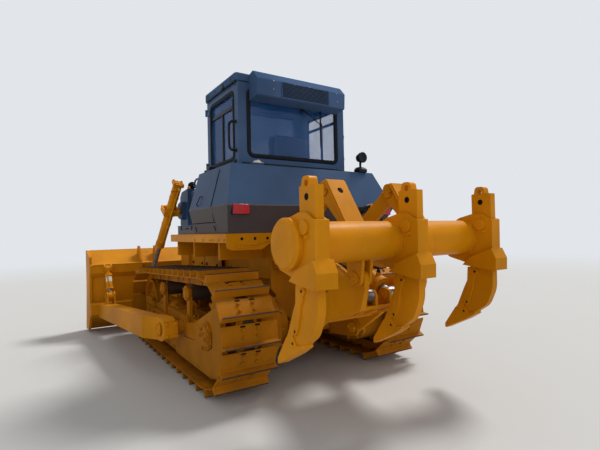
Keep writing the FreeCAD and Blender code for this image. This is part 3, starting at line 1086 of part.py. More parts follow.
# Beam with its pockets, uprights and lugs
tube = rod("BeamTube", "y", "beam_radius",
           ("-shank_pitch - pocket_foot - 20", "shank_pitch + pocket_foot + 20"), ("beam_x", "beam_z"))
cap_in, cap_out = S.shank_pitch + S.pocket_half - 10, S.shank_pitch + S.pocket_foot + 26
cap = turned("BeamCap", [(cap_in, S.beam_radius + 30), (cap_out - 16, S.beam_radius + 30),
                         (cap_out, S.beam_radius + 12)], "beam_x", 0, "beam_z")
caps = [cap, mirrored("BeamCapRight", cap)]
pockets, slots = [], []
pocket_side = [(-2255, 1400, 60), (-2290, 1290, 60), (-2500, 1236), (-2785, 1175), (-2830, 1180),
               (-2833, 1290), (-2783, 1390), (-2786, 1651), (-2740, 1665, 20), (-2680, 1706, 20),
               (-2590, 1710, 30), (-2440, 1675, 60), (-2290, 1600, 90)]
for k, m in (("L", "shank_pitch"), ("C", "0"), ("R", "-shank_pitch")):
    pockets.append(plate(f"Pocket{k}", (f"{m} - pocket_half", f"{m} + pocket_half"), pocket_side))
    pockets.append(plate(f"PocketFoot{k}", (f"{m} - pocket_foot", f"{m} + pocket_foot"),
                         [(-2480, 1215), (-2785, 1175), (-2830, 1180), (-2833, 1290), (-2788, 1380),
                          (-2560, 1290)]))
    slots.append(box(f"ShankSlot{k}", ("shank_rear - 2 * pocket_gap", "shank_rear + shank_depth + fit_gap"),
                     (f"{m} - shank_thick / 2 - pocket_gap", f"{m} + shank_thick / 2 + pocket_gap"),
                     (1000, 1900)))
back_top, back_foot = V(D.x - 76, 0, D.z + 88), V(-2455, 0, 1560)
back_way = (back_foot - back_top).normalize()
back_face = V(-back_way.z, 0, back_way.x)
back_lean = math.degrees(math.atan2(-back_way.z, back_way.x))
uprights, back_slots = [], []
for k, m in (("L", LINK_Y), ("R", -LINK_Y)):
    up_side = [(-2330, 1580), (D.x + 20, D.z - 80, 60), (D.x + 80, D.z, 60), (D.x + 50, D.z + 85, 50),
               (D.x - 60, D.z + 90, 20), (-2470, 1560)]
    for j, (lo, hi) in enumerate(((34, 64), (-64, -34))):
        uprights.append(plate(f"UprightSide{k}{j}", (m + lo, m + hi), up_side))
    uprights.append(plate(f"UprightBack{k}", (m - 100, m + 100),
                          [(back_top.x, back_top.z), (back_top.x + 24, back_top.z - 16), (-2424, 1560),
                           (back_foot.x, back_foot.z)]))
    slot_at = (back_top + back_foot) / 2 - back_face * 40
    back_slots.append(leaning(slab(f"UprightSlot{k}", (0, 80),
                                   [(-80, -30, 29), (80, -30, 29), (80, 30, 29), (-80, 30, 29)]), back_lean,
                              slot_at.x, m, slot_at.z))
beam_lugs = []
for k, m in (("L", ARM_Y), ("R", -ARM_Y)):
    for j, (lo, hi) in enumerate(((31, 61), (-61, -31))):
        beam_lugs.append(plate(f"BeamLug{k}{j}", (m + lo, m + hi),
                               [(C.x - 80, C.z - 70, 60), (C.x + 80, C.z - 70, 60), (C.x + 90, 1400),
                                (C.x - 120, 1400)]))
beam_pins = []
for k, (middle, reach, x, z) in enumerate(((ARM_Y, 61, C_X, C_Z), (LINK_Y, 64, D_X, D_Z))):
    beam_pins += [rod(f"BeamPin{k}L", "y", "pin_radius", (middle - reach - 5, middle + reach + 5), (x, z)),
                  rod(f"BeamPin{k}R", "y", "pin_radius", (-middle - reach - 5, -middle + reach + 5), (x, z))]
body = join("BeamBody", tube, *caps, *pockets, *uprights, *beam_lugs, *beam_pins)
shank_pins = [rod(f"ShankPin{k}", "y", "shank_pin", (f"{m} - pocket_half - 20", f"{m} + pocket_half + 20"),
                  ("shank_rear + shank_depth / 2", 1600))
              for k, m in (("L", "shank_pitch"), ("C", "0"), ("R", "-shank_pitch"))]
node("ripper_beam", join("RipperBeam", cut("BeamSlotted", body, *slots, *back_slots), *shank_pins))

shanks = []
for k, m in (("L", "shank_pitch"), ("C", "0"), ("R", "-shank_pitch")):
    blank = plate(f"Shank{k}", (f"{m} - shank_thick / 2", f"{m} + shank_thick / 2"),
                  [(S.shank_rear + S.shank_depth, 1100), (S.shank_rear + S.shank_depth, 1895),
                   (-2590, 1900), (-2602, 1965, 35), (-2690, 1965, 35), (-2702, 1900), (S.shank_rear, 1895),
                   (S.shank_rear, 1000, 300), (-2690, 840, 150), (-2540, 735, 150), (-2235, 556, 8),
                   (-2225, 580, 8), (-2410, 830, 200), (-2480, 1000, 200)])
    holes = [rod(f"ShankEye{k}", "y", "shank_eye", (f"{m} - 60", f"{m} + 60"), (-2650, 1915)),
             rod(f"ShankPinHole{k}", "y", "shank_pin + fit_gap", (f"{m} - 60", f"{m} + 60"),
                 ("shank_rear + shank_depth / 2", 1600))]
    guard_side = [(-2595, 1150, 10), (-2545, 1150, 10), (-2466, 1000, 200), (-2400, 852, 120),
                  (-2372, 790, 10), (-2445, 800, 30), (-2520, 960, 150), (-2595, 1085, 60)]
    tip_side = [(-2432, 700), (-2236, 552), (-2221, 558), (-2222, 596), (-2352, 778, 12), (-2424, 790, 12)]
    wear = [plate(f"{kind}{k}", (f"{m} - shank_thick / 2 - wear_over",
                                 f"{m} + shank_thick / 2 + wear_over"), side)
            for kind, side in (("WearGuard", guard_side), ("ShankTip", tip_side))]
    shanks.append(join(f"ShankWhole{k}", cut(f"ShankCut{k}", blank, *holes), *wear))
node("ripper_shanks", group("Shanks", *shanks))

# Ripper cylinders
p_head = V(S.rcyl_x, S.rcyl_y, S.rcyl_z)
p_eye = V(S.rcyl_eye_x, S.rcyl_y, S.rcyl_eye_z)
way = (p_eye - p_head).normalize()


def along(base, step):
    return tuple(base + way * step)


rbarrel = join("RipperBarrel", tube_between("RipperTube", "rcyl_barrel", along(p_head, 130),
                                            along(p_head, 1030)),
               tube_between("RipperNeck", 50, along(p_head, 50), along(p_head, 160)),
               tube_between("RipperGland", "rcyl_barrel + 12", along(p_head, 970), along(p_head, 1045)),
               rod("RipperHeadEye", "y", 68, ("rcyl_y - 52", "rcyl_y + 52"), ("rcyl_x", "rcyl_z")))
pair("ripper_barrels", cut("RipperBarrelBored", rbarrel,
                           tube_between("RipperBore", "rcyl_rod + pin_gap", along(p_head, 200),
                                        along(p_head, 1100)),
                           rod("RipperHeadBore", "y", "pin_radius + pin_gap",
                               ("rcyl_y - 60", "rcyl_y + 60"), ("rcyl_x", "rcyl_z"))))
rrod = join("RipperRod", tube_between("RipperRodBar", "rcyl_rod", along(p_head, 240), along(p_eye, -40)),
            rod("RipperRodEye", "y", 66, ("rcyl_y - 46", "rcyl_y + 46"), ("rcyl_eye_x", "rcyl_eye_z")))
pair("ripper_rods", rrod)

# Check and write
DOC.recompute()
faults = [o.Name for o in DOC.Objects if {"Invalid", "Error"} & set(o.State)]
faults += [o.Label for o in NODES if o.Shape.isNull() or not o.Shape.isValid() or not o.Shape.Solids]
if faults:
    sys.exit("failed: " + ", ".join(faults))
os.makedirs("parts", exist_ok=True)
for old in os.listdir("parts"):
    os.remove(os.path.join("parts", old))
for obj in NODES:
    obj.Shape.exportStep(f"parts/{obj.Label}.step")
whole = FreeCAD.BoundBox()
for obj in NODES:
    whole.add(obj.Shape.BoundBox)
print(len(NODES), "pieces;", whole)
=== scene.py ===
"""Looks of a crawler bulldozer with a straight blade and a three-shank ripper.

Metres. +X points to the blade, +Y to the machine's left, +Z up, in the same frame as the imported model. Each
sub-assembly is a class whose fields are its sizes. Its methods work out closed surfaces as whole numpy arrays and
give them their finishes, and every finished piece rides on one of the model's bodies.
"""

from __future__ import annotations

import json
import logging
import math
from dataclasses import dataclass, field, replace
from enum import Enum
from typing import Iterable, Sequence

import bpy
import numpy as np
from mathutils import Matrix

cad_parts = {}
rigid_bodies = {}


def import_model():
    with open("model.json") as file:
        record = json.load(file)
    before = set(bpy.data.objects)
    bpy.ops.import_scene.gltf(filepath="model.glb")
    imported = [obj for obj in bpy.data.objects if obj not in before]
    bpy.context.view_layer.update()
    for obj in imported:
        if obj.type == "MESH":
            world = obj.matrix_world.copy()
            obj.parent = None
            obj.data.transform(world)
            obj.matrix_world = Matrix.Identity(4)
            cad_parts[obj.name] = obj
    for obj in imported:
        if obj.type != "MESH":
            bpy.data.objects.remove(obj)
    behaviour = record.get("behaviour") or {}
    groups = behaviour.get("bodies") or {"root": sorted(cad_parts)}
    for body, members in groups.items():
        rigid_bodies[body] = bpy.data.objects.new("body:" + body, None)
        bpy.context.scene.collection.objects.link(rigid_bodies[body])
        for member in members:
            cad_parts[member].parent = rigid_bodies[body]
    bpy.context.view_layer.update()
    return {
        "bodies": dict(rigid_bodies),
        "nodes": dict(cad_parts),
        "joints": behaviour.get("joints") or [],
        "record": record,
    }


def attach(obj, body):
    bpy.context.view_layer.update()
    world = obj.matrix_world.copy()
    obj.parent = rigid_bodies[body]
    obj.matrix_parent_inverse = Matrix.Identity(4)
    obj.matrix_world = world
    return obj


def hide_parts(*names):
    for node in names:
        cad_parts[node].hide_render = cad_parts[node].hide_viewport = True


LOG = logging.getLogger("bulldozer")
Array = np.ndarray
Point = Sequence[float]


class Side(Enum):
    """The machine's left and right, with the sign of Y on each."""

    LEFT = 1
    RIGHT = -1

    @property
    def word(self) -> str:
        """The side's name as the model's nodes spell it."""
        return self.name.lower()


class Axis(Enum):
    """The axis that an outline is carried along, with the order in which its own two coordinates follow."""

    X = (1, 2, 0)
    Y = (0, 2, 1)
    Z = (0, 1, 2)


# Colour and shader maths


def srgb(red: float, green: float, blue: float) -> tuple[float, float, float]:
    """Turn a colour as a picture gives it, 0 to 255, into linear light.

    Args:
        red, green, blue: the channels, each c, for which the light is ((c/255 + 0.055) / 1.055) ** 2.4.

    Returns:
        The three linear channels.
    """
    linear = ((np.array([red, green, blue]) / 255 + 0.055) / 1.055) ** 2.4
    return tuple(float(c) for c in linear)


class Wire:
    """A number socket that takes Python's operators and adds a Math node for each."""

    def __init__(self, tree: "Tree", socket: bpy.types.NodeSocket) -> None:
        """Wrap an output socket of a tree."""
        self.tree = tree
        self.socket = socket

    def maths(self, operation: str, *values: "Wire | float") -> "Wire":
        """Add a Math node.

        Args:
            operation: the node's operation.
            values: its inputs in order.

        Returns:
            The node's result.
        """
        return self.tree.node("ShaderNodeMath", {"operation": operation}, dict(enumerate(values)))

    def __add__(self, other: "Wire | float") -> "Wire":
        """Sum."""
        return self.maths("ADD", self, other)

    def __sub__(self, other: "Wire | float") -> "Wire":
        """Difference."""
        return self.maths("SUBTRACT", self, other)

    def __rsub__(self, other: float) -> "Wire":
        """Difference from a number."""
        return self.maths("SUBTRACT", other, self)

    def __mul__(self, other: "Wire | float") -> "Wire":
        """Product."""
        return self.maths("MULTIPLY", self, other)

    __radd__ = __add__
    __rmul__ = __mul__

    def sine(self, rate: float) -> "Wire":
        """The sine of the number times a rate."""
        angle = self * rate
        return angle.maths("SINE", angle)

    def ramp(self, low: float, high: float) -> "Wire":
        """Rise smoothly from 0 at low to 1 at high, or fall where low is the larger."""
        settings = {"interpolation_type": "SMOOTHSTEP"}
        if low < high:
            return self.tree.node("ShaderNodeMapRange", settings, {0: self, 1: low, 2: high, 3: 0.0, 4: 1.0})
        return self.tree.node("ShaderNodeMapRange", settings, {0: self, 1: high, 2: low, 3: 1.0, 4: 0.0})


class Tree:
    """A material's nodes, written as expressions."""

    def __init__(self, name: str) -> None:
        """Start an empty material."""
        self.material = bpy.data.materials.new(name)
        self.material.use_nodes = True
        self.nodes = self.material.node_tree.nodes
        self.links = self.material.node_tree.links
        self.nodes.clear()

    def node(self, kind: str, settings: dict | None = None, inputs: dict | None = None, output: int = 0) -> Wire:
        """Add a node.

        Args:
            kind: its type.
            settings: its own properties, set before its sockets.
            inputs: values or wires by socket name or number.
            output: the number of the output that is wanted.

        Returns:
            That output.
        """
        made = self.nodes.new(kind)
        for key, value in (settings or {}).items():
            setattr(made, key, value)
        for key, value in (inputs or {}).items():
            if isinstance(value, Wire):
                self.links.new(value.socket, made.inputs[key])
            else:
                made.inputs[key].default_value = value
        return Wire(self, made.outputs[output])

    def place(self, scale: Point = (1, 1, 1)) -> Wire:
        """Object coordinates, stretched by a scale along each axis."""
        here = self.node("ShaderNodeTexCoord", output=3)
        return self.node("ShaderNodeMapping", inputs={"Vector": here, "Scale": tuple(scale)})

    def axes(self) -> list[Wire]:
        """The X, Y and Z coordinates."""
        parts = self.nodes.new("ShaderNodeSeparateXYZ")
        self.links.new(self.place().socket, parts.inputs[0])
        return [Wire(self, socket) for socket in parts.outputs]

    def height(self) -> Wire:
        """The Z coordinate."""
        return self.axes()[2]

    def upward(self) -> Wire:
        """The surface normal's Z."""
        normal = self.node("ShaderNodeNewGeometry", output=1)
        return self.node("ShaderNodeSeparateXYZ", inputs={0: normal}, output=2)

    def noise(self, scale: float, detail: float = 3.0, stretch: Point = (1, 1, 1), rough: float = 0.5) -> Wire:
        """Fractal noise from 0 to 1, with so many features to the metre."""
        return self.node("ShaderNodeTexNoise", inputs={
            "Vector": self.place(stretch), "Scale": scale, "Detail": detail, "Roughness": rough})

    def cells(self, scale: float, feature: str = "F1") -> Wire:
        """Distance in a Voronoi pattern."""
        return self.node("ShaderNodeTexVoronoi", {"feature": feature}, {"Vector": self.place(), "Scale": scale})

    def mix(self, factor: Wire | float, first: Wire | Point, second: Wire | Point) -> Wire:
        """Blend two colours: the first at 0, the second at 1."""
        pair = [c if isinstance(c, Wire) else (*c, 1.0) for c in (first, second)]
        return self.node("ShaderNodeMix", {"data_type": "RGBA"}, {0: factor, 6: pair[0], 7: pair[1]}, output=2)

    def bump(self, height: Wire, strength: float, distance: float) -> Wire:
        """A normal raised by a height field."""
        return self.node("ShaderNodeBump", inputs={"Height": height, "Strength": strength, "Distance": distance})

    def close(self, sockets: dict) -> bpy.types.Material:
        """Give the material its one shader.

        Args:
            sockets: the Principled shader's inputs by name.

        Returns:
            The finished material.
        """
        return self.surface(self.node("ShaderNodeBsdfPrincipled", inputs=sockets))

    def surface(self, shader: Wire) -> bpy.types.Material:
        """Let a shader be the material's surface."""
        self.links.new(shader.socket, self.nodes.new("ShaderNodeOutputMaterial").inputs[0])
        return self.material


MADE: dict[str, bpy.types.Material] = {}


@dataclass(frozen=True)
class Finish:
    """A surface finish, made once and shared by every piece that takes it."""

    name: str

    def material(self) -> bpy.types.Material:
        """The finish's material, made the first time that it is asked for."""
        if self.name not in MADE:
            MADE[self.name] = self.make()
        return MADE[self.name]

    def make(self) -> bpy.types.Material:
        """Write the material's nodes."""
        raise NotImplementedError


@dataclass(frozen=True)
class Paint(Finish):
    """Sprayed machine enamel: slow shifts of tone, a fine orange peel, and road dust low down and on ledges."""

    colour: tuple[float, float, float] = (0.5, 0.5, 0.5)
    rough: float = 0.30
    coat: float = 0.35
    dust: float = 0.25
    dust_top: float = 1.6
    dust_colour: tuple[float, float, float] = srgb(150, 112, 66)
    scuffs: float = 0.0
    peel: float = 0.05
    gloss: float = 0.07
    # Colour below the split height: a second, yellow paint on the hood; a painted reflection of the ground on the tank
    # and consoles.
    lower: tuple[float, float, float] | None = None
    split: float = 1.52

    def make(self) -> bpy.types.Material:
        """Base colour times a slow noise, dust over it where a noise and the height or the slope allow."""
        t = Tree(self.name)
        tone = t.noise(1.3, 4.0)
        deep = tuple(0.80 * c for c in self.colour)
        pale = tuple(min(1.0, 1.10 * c + 0.004) for c in self.colour)
        base = t.mix(tone.ramp(0.30, 0.72), deep, pale)
        # Below the split the lower colour: real paint on the hood, painted ground reflection on the tank and consoles.
        if self.lower:
            base = t.mix(t.height().ramp(self.split + 0.001, self.split - 0.001), base, self.lower)
        runs = t.noise(5.0, 5.0, (2.2, 2.2, 0.35), 0.62).ramp(0.50, 0.78)
        base = t.mix(runs * 0.16, base, tuple(0.45 * c for c in self.colour))
        low = t.height().ramp(self.dust_top, 0.0)
        ledge = t.upward().ramp(0.25, 0.95)
        cloud = t.noise(3.4, 6.0, rough=0.62).ramp(0.34, 0.70)
        speck = t.noise(42.0, 3.0).ramp(0.42, 0.72)
        dirt = (low * 0.75 + ledge * 0.42 + 0.10) * (cloud * 0.75 + speck * 0.25) * self.dust
        base = t.mix(dirt, base, self.dust_colour)
        if self.scuffs:
            lines = t.node("ShaderNodeTexVoronoi", {"feature": "DISTANCE_TO_EDGE"}, {
                "Vector": t.place((1.0, 0.35, 1.6)), "Scale": 7.0}).ramp(0.022, 0.004)
            patches = t.noise(2.1, 5.0).ramp(0.52, 0.66)
            chips = t.noise(26.0, 6.0, rough=0.7).ramp(0.63, 0.69)
            worn = (lines * 0.5 + chips) * patches * self.scuffs
            base = t.mix(worn.maths("MINIMUM", worn, 1.0), base, srgb(74, 56, 38))
        grain = t.noise(210.0, 2.0)
        return t.close({
            "Base Color": base, "Roughness": dirt * 0.45 + tone * 0.08 + self.rough, "Coat Weight": self.coat,
            "Coat Roughness": 0.22, "Specular IOR Level": self.gloss, "Normal": t.bump(grain, self.peel, 0.002)})


@dataclass(frozen=True)
class Metal(Finish):
    """Bare steel, ground, cast or plated: noise in its tone and roughness, with brown dust in the cast kind."""

    colour: tuple[float, float, float] = (0.5, 0.5, 0.5)
    rough: float = 0.35
    grime: float = 0.3
    grime_colour: tuple[float, float, float] = srgb(92, 66, 40)
    metallic: float = 1.0
    grain: float = 0.1

    def make(self) -> bpy.types.Material:
        """Steel mixed with dull grime by a cloudy noise; grime isn't metallic."""
        t = Tree(self.name)
        cloud = t.noise(6.5, 6.0, rough=0.65).ramp(0.36, 0.68) * self.grime
        fine = t.noise(95.0, 4.0)
        base = t.mix(fine.ramp(0.3, 0.7), tuple(0.82 * c for c in self.colour), self.colour)
        base = t.mix(cloud, base, self.grime_colour)
        return t.close({
            "Base Color": base, "Metallic": (1.0 - cloud) * self.metallic,
            "Roughness": cloud * 0.4 + fine * 0.12 + self.rough, "Normal": t.bump(fine, self.grain, 0.002)})


@dataclass(frozen=True)
class WrappedRod(Finish):
    """A plated rod with a length of grey packing paper round it, found by the distance along the rod."""

    head: tuple[float, float, float] = (1.630, 0.780, 1.950)
    eye: tuple[float, float, float] = (2.430, 0.965, 0.665)
    span: tuple[float, float] = (0.700, 1.250)

    def make(self) -> bpy.types.Material:
        """Distance along the rod is (p - head) . way with y taken as |y|; paper lies between the two ends of span."""
        t = Tree(self.name)
        way = unit(np.array(self.eye) - self.head)
        x, y, z = t.axes()
        along = x * float(way[0]) + y.maths("ABSOLUTE", y) * float(way[1]) + z * float(way[2]) - float(way @ self.head)
        paper = along.ramp(self.span[0], self.span[0] + 0.006) * along.ramp(self.span[1], self.span[1] - 0.006)
        folds = t.noise(38.0, 5.0, (1.0, 1.0, 0.5), 0.6)
        tape = along.sine(90.0).ramp(0.86, 0.97)
        grey = t.mix(folds.ramp(0.3, 0.7), srgb(92, 80, 74), srgb(132, 118, 110))
        grey = t.mix(tape * 0.6, grey, srgb(150, 140, 130))
        return t.close({
            "Base Color": t.mix(paper, srgb(206, 208, 212), grey), "Metallic": 1.0 - paper,
            "Roughness": paper * 0.72 + 0.10, "Normal": t.bump(folds * paper, 0.7, 0.004)})


@dataclass(frozen=True)
class Moulded(Finish):
    """Rubber or moulded plastic with a fine stipple and a trace of dust."""

    colour: tuple[float, float, float] = (0.02, 0.02, 0.02)
    rough: float = 0.5
    stipple: float = 0.15
    scale: float = 420.0

    def make(self) -> bpy.types.Material:
        """A flat colour under a cloudy dust film, with a stipple bump."""
        t = Tree(self.name)
        film = t.noise(4.5, 5.0).ramp(0.40, 0.75) * (t.upward().ramp(-0.2, 0.9) * 0.16 + 0.02)
        pits = t.noise(self.scale, 2.0)
        return t.close({
            "Base Color": t.mix(film, self.colour, srgb(104, 106, 112)),
            "Roughness": film * 0.5 + pits * 0.08 + self.rough, "Specular IOR Level": 0.15,
            "Normal": t.bump(pits, self.stipple, 0.001)})


@dataclass(frozen=True)
class Pane(Finish):
    """Tinted safety glass: clear enough to see the cab through it, with a faint wiped film of dust."""

    tint: tuple[float, float, float] = srgb(18, 104, 184)
    alpha: float = 0.20

    def make(self) -> bpy.types.Material:
        """A glossy coat over a half-clear body whose clearness a streaked noise varies."""
        t = Tree(self.name)
        film = t.noise(2.4, 5.0, (1.0, 1.0, 0.5), 0.6).ramp(0.35, 0.8)
        return t.close({
            "Base Color": t.mix(film * 0.25, self.tint, srgb(150, 165, 180)), "Roughness": film * 0.10 + 0.03,
            "Alpha": film * 0.10 + self.alpha, "IOR": 1.52, "Coat Weight": 0.2, "Coat Roughness": 0.02})


@dataclass(frozen=True)
class Prismatic(Finish):
    """A moulded reflector or lamp lens: clear colour over a lattice of small cells."""

    colour: tuple[float, float, float] = srgb(206, 14, 30)
    cell: float = 260.0
    metallic: float = 0.0

    def make(self) -> bpy.types.Material:
        """Cells of a Voronoi pattern darken the colour at their rims and raise the bump."""
        t = Tree(self.name)
        cells = t.cells(self.cell)
        base = t.mix(cells.ramp(0.2, 0.7), self.colour, tuple(0.55 * c for c in self.colour))
        return t.close({
            "Base Color": base, "Roughness": 0.30, "Metallic": self.metallic, "Coat Weight": 0.1,
            "Coat Roughness": 0.2, "Normal": t.bump(cells, 0.25, 0.002)})


@dataclass(frozen=True)
class Upholstery(Finish):
    """Seat cloth: a plain weave of two threads with a soft nap."""

    colour: tuple[float, float, float] = srgb(52, 54, 58)
    thread: float = 900.0

    def make(self) -> bpy.types.Material:
        """The weave is the product of two sine bands across each other, at so many radians to the metre."""
        t = Tree(self.name)
        across, along, _ = t.axes()
        weave = across.sine(self.thread) * along.sine(self.thread) * 0.5 + 0.5
        nap = t.noise(11.0, 5.0).ramp(0.35, 0.7)
        base = t.mix(weave * 0.5 + nap * 0.3, tuple(0.6 * c for c in self.colour), self.colour)
        return t.close({
            "Base Color": base, "Roughness": nap * 0.1 + 0.82, "Sheen Weight": 0.25,
            "Normal": t.bump(weave, 0.3, 0.001)})


YELLOW = Paint("machine_yellow", srgb(212, 136, 0), rough=0.40, coat=0.03, dust=0.16, dust_colour=srgb(150, 104, 44))
YELLOW_BLADE = Paint("blade_yellow", srgb(204, 130, 0), rough=0.46, coat=0.0, dust=0.30, dust_top=1.1,
                     dust_colour=srgb(140, 98, 46), scuffs=0.5)
YELLOW_CAST = Paint("cast_yellow", srgb(180, 112, 0), rough=0.50, coat=0.0, dust=0.42, dust_top=1.5,
                    dust_colour=srgb(104, 70, 30), scuffs=0.3, peel=0.16)
YELLOW_SHOE = Paint("shoe_yellow", srgb(182, 113, 0), rough=0.48, coat=0.0, dust=0.48, dust_top=1.9,
                    dust_colour=srgb(106, 72, 32), scuffs=0.6, peel=0.14)
SLATE = Paint("slate_enamel", srgb(66, 90, 124), rough=0.42, coat=0.02, dust=0.10, dust_top=2.2,
              dust_colour=srgb(112, 100, 88), peel=0.03, gloss=0.10)
SLATE_TOP = replace(SLATE, name="roof_enamel", colour=srgb(72, 95, 130), rough=0.60, coat=0.0, dust=0.04, gloss=0.0)
# The warm grey below the crease is a painted reflection of the ground.
SLATE_TANK_GROUND_REFLECTION = replace(SLATE, name="tank_enamel", colour=srgb(50, 75, 108), lower=srgb(80, 74, 76), split=1.857)
HOOD = replace(SLATE, name="hood_enamel", colour=srgb(57, 81, 115), lower=srgb(196, 126, 0))
SLATE_DARK = Paint("slate_shadow", srgb(32, 42, 62), rough=0.38, coat=0.04, dust=0.08, peel=0.04)
WHITE = Paint("white_enamel", srgb(222, 218, 206), rough=0.3, dust=0.35)
BLACK = Moulded("black_enamel", srgb(18, 21, 28), rough=0.34, stipple=0.05)
RUBBER = Moulded("black_rubber", srgb(16, 19, 25), rough=0.62)
DARK = Moulded("shadow_black", srgb(9, 9, 10), rough=0.8)
PLASTIC = Moulded("cab_plastic", srgb(58, 60, 64), rough=0.55)
TREAD = Metal("worn_tread", srgb(72, 58, 46), rough=0.55, grime=0.6, grime_colour=srgb(84, 56, 28), metallic=0.6)
STEEL = Metal("ground_steel", srgb(168, 160, 150), rough=0.34, grime=0.35)
PAPERED = WrappedRod("papered_rod")
CHROME = Metal("plated_rod", srgb(168, 168, 172), rough=0.22, grime=0.10, grain=0.02)
# Painted reflection: a pale blue sheet that stands in for the flat reflection seen on the rear window.
REFLECTION_SHEET = Pane("screen_film", srgb(104, 138, 184), 0.74)
SOOTY = Metal("stack_steel", srgb(44, 40, 38), rough=0.55, grime=0.4, metallic=0.7, grain=0.2)
GLASS = Pane("cab_window")
RED_LENS = Prismatic("red_reflector")
CLEAR_LENS = Prismatic("lamp_lens", srgb(214, 218, 222), cell=120.0, metallic=0.6)
CLOTH = Upholstery("seat_cloth")


# Surfaces


@dataclass(frozen=True)
class Surface:
    """Closed surfaces: their points, the corners of their faces one after another, and each face's corner count."""

    points: Array
    corners: Array
    sizes: Array

    def __add__(self, other: "Surface") -> "Surface":
        """Both surfaces as one."""
        return merged([self, other])

    def moved(self, x: float = 0.0, y: float = 0.0, z: float = 0.0) -> "Surface":
        """The surface, shifted."""
        return Surface(self.points + np.array([x, y, z]), self.corners, self.sizes)

    def turned(self, axis: Point, degrees: float, centre: Point = (0, 0, 0)) -> "Surface":
        """The surface, turned about an axis through a centre."""
        matrix = np.array(Matrix.Rotation(math.radians(degrees), 3, axis))
        return Surface((self.points - centre) @ matrix.T + centre, self.corners, self.sizes)

    def opposite(self) -> "Surface":
        """The surface on the machine's other side: Y changes sign, and each face's order is turned round."""
        return Surface(self.points * (1, -1, 1), self.corners, self.sizes).flipped()

    def on(self, side: Side) -> "Surface":
        """The surface as drawn on the left, or its opposite."""
        return self if side is Side.LEFT else self.opposite()

    def flipped(self) -> "Surface":
        """The surface with every face's corners in the other order."""
        starts = np.concatenate([[0], np.cumsum(self.sizes)[:-1]])
        first = np.repeat(starts, self.sizes)
        last = first + np.repeat(self.sizes, self.sizes) - 1
        return Surface(self.points, self.corners[first + last - np.arange(len(self.corners))], self.sizes)

    def outward(self) -> "Surface":
        """The surface with its faces outward: the sum of a . (b x c) over fans of each face is its volume times 6."""
        starts = np.concatenate([[0], np.cumsum(self.sizes)[:-1]])
        first = np.repeat(starts, self.sizes)
        following = np.arange(len(self.corners)) + 1
        following = np.where(following == first + np.repeat(self.sizes, self.sizes), first, following)
        origin = self.points.mean(0)
        a, b, c = (self.points[self.corners[i]] - origin for i in (first, np.arange(len(self.corners)), following))
        volume = np.einsum("ij,ij->", a, np.cross(b, c))
        return self if volume >= 0 else self.flipped()


def merged(surfaces: Iterable[Surface]) -> Surface:
    """Join surfaces into one list of points and faces."""
    parts = list(surfaces)
    offsets = np.cumsum([0] + [len(s.points) for s in parts[:-1]])
    return Surface(np.concatenate([s.points for s in parts]),
                   np.concatenate([s.corners + o for s, o in zip(parts, offsets)]),
                   np.concatenate([s.sizes for s in parts]))


def skin(rings: Array, looped: bool = False) -> Surface:
    """Cover a stack of rings with quads.

    Args:
        rings: points as (ring, place on the ring, coordinate); face (i, j) joins rings i and i + 1 at places j, j + 1.
        looped: whether the last ring meets the first; otherwise both end rings are capped.

    Returns:
        The closed surface, faces outward.
    """
    m, n, _ = rings.shape
    i, j = np.meshgrid(np.arange(m if looped else m - 1), np.arange(n), indexing="ij")
    a, b = i * n + j, i * n + (j + 1) % n
    c, d = (i + 1) % m * n + (j + 1) % n, (i + 1) % m * n + j
    quads = np.stack([a, b, c, d], -1).reshape(-1, 4)
    corners, sizes = [quads.ravel()], [np.full(len(quads), 4)]
    if not looped:
        corners += [np.arange(n)[::-1], (m - 1) * n + np.arange(n)]
        sizes.append(np.array([n, n]))
    return Surface(rings.reshape(-1, 3), np.concatenate(corners), np.concatenate(sizes)).outward()


def unit(vectors: Array) -> Array:
    """Vectors of length one."""
    return vectors / np.maximum(np.linalg.norm(vectors, axis=-1, keepdims=True), 1e-12)


def smooth_path(points: Sequence[Point], steps: int = 8) -> Array:
    """A Catmull-Rom curve through points: on each run q(t) = (2b + (c-a)t + (2a-5b+4c-d)t^2 + (3b-a-3c+d)t^3) / 2."""
    p = np.array(points, float)
    p = np.concatenate([2 * p[:1] - p[1:2], p, 2 * p[-1:] - p[-2:-1]])
    a, b, c, d = (p[i:len(p) - 3 + i][:, None] for i in range(4))
    t = (np.arange(steps) / steps)[None, :, None]
    curve = (2 * b + (c - a) * t + (2 * a - 5 * b + 4 * c - d) * t ** 2 + (3 * b - a - 3 * c + d) * t ** 3) / 2
    return np.concatenate([curve.reshape(-1, 3), p[-2:-1]])


def carried(path: Array, section: Array, up: Point = (0, 0, 1), looped: bool = False,
            swell: Array | float = 1.0) -> Surface:
    """Carry a flat section along a path: each point is p + u N + v B, with T the way, N = up x T and B = T x N.

    Args:
        path: the points to follow.
        section: rows of u and v, in order round the section.
        up: a way that the path never takes.
        looped: whether the path closes.
        swell: how many times larger the section is at each point.

    Returns:
        The closed bar.
    """
    ahead = np.roll(path, -1, 0) - path if looped else np.concatenate([path[1:] - path[:-1], path[-1:] - path[-2:-1]])
    behind = path - np.roll(path, 1, 0) if looped else np.concatenate([path[1:2] - path[:1], path[1:] - path[:-1]])
    way = unit(unit(ahead) + unit(behind))
    stretch = 1 / np.maximum(np.einsum("ij,ij->i", way, unit(ahead)), 0.4)
    side = unit(np.cross(np.array(up, float), way))
    other = np.cross(way, side)
    size = np.broadcast_to(np.array(swell, float), len(path))[:, None, None]
    rings = path[:, None] + side[:, None] * section[None, :, :1] * stretch[:, None, None] * size \
        + other[:, None] * section[None, :, 1:] * size
    return skin(rings, looped)


def circle(radius: float, sides: int = 12) -> Array:
    """Points round a circle: (r cos a, r sin a)."""
    a = np.arange(sides) * 2 * np.pi / sides
    return radius * np.stack([np.cos(a), np.sin(a)], -1)


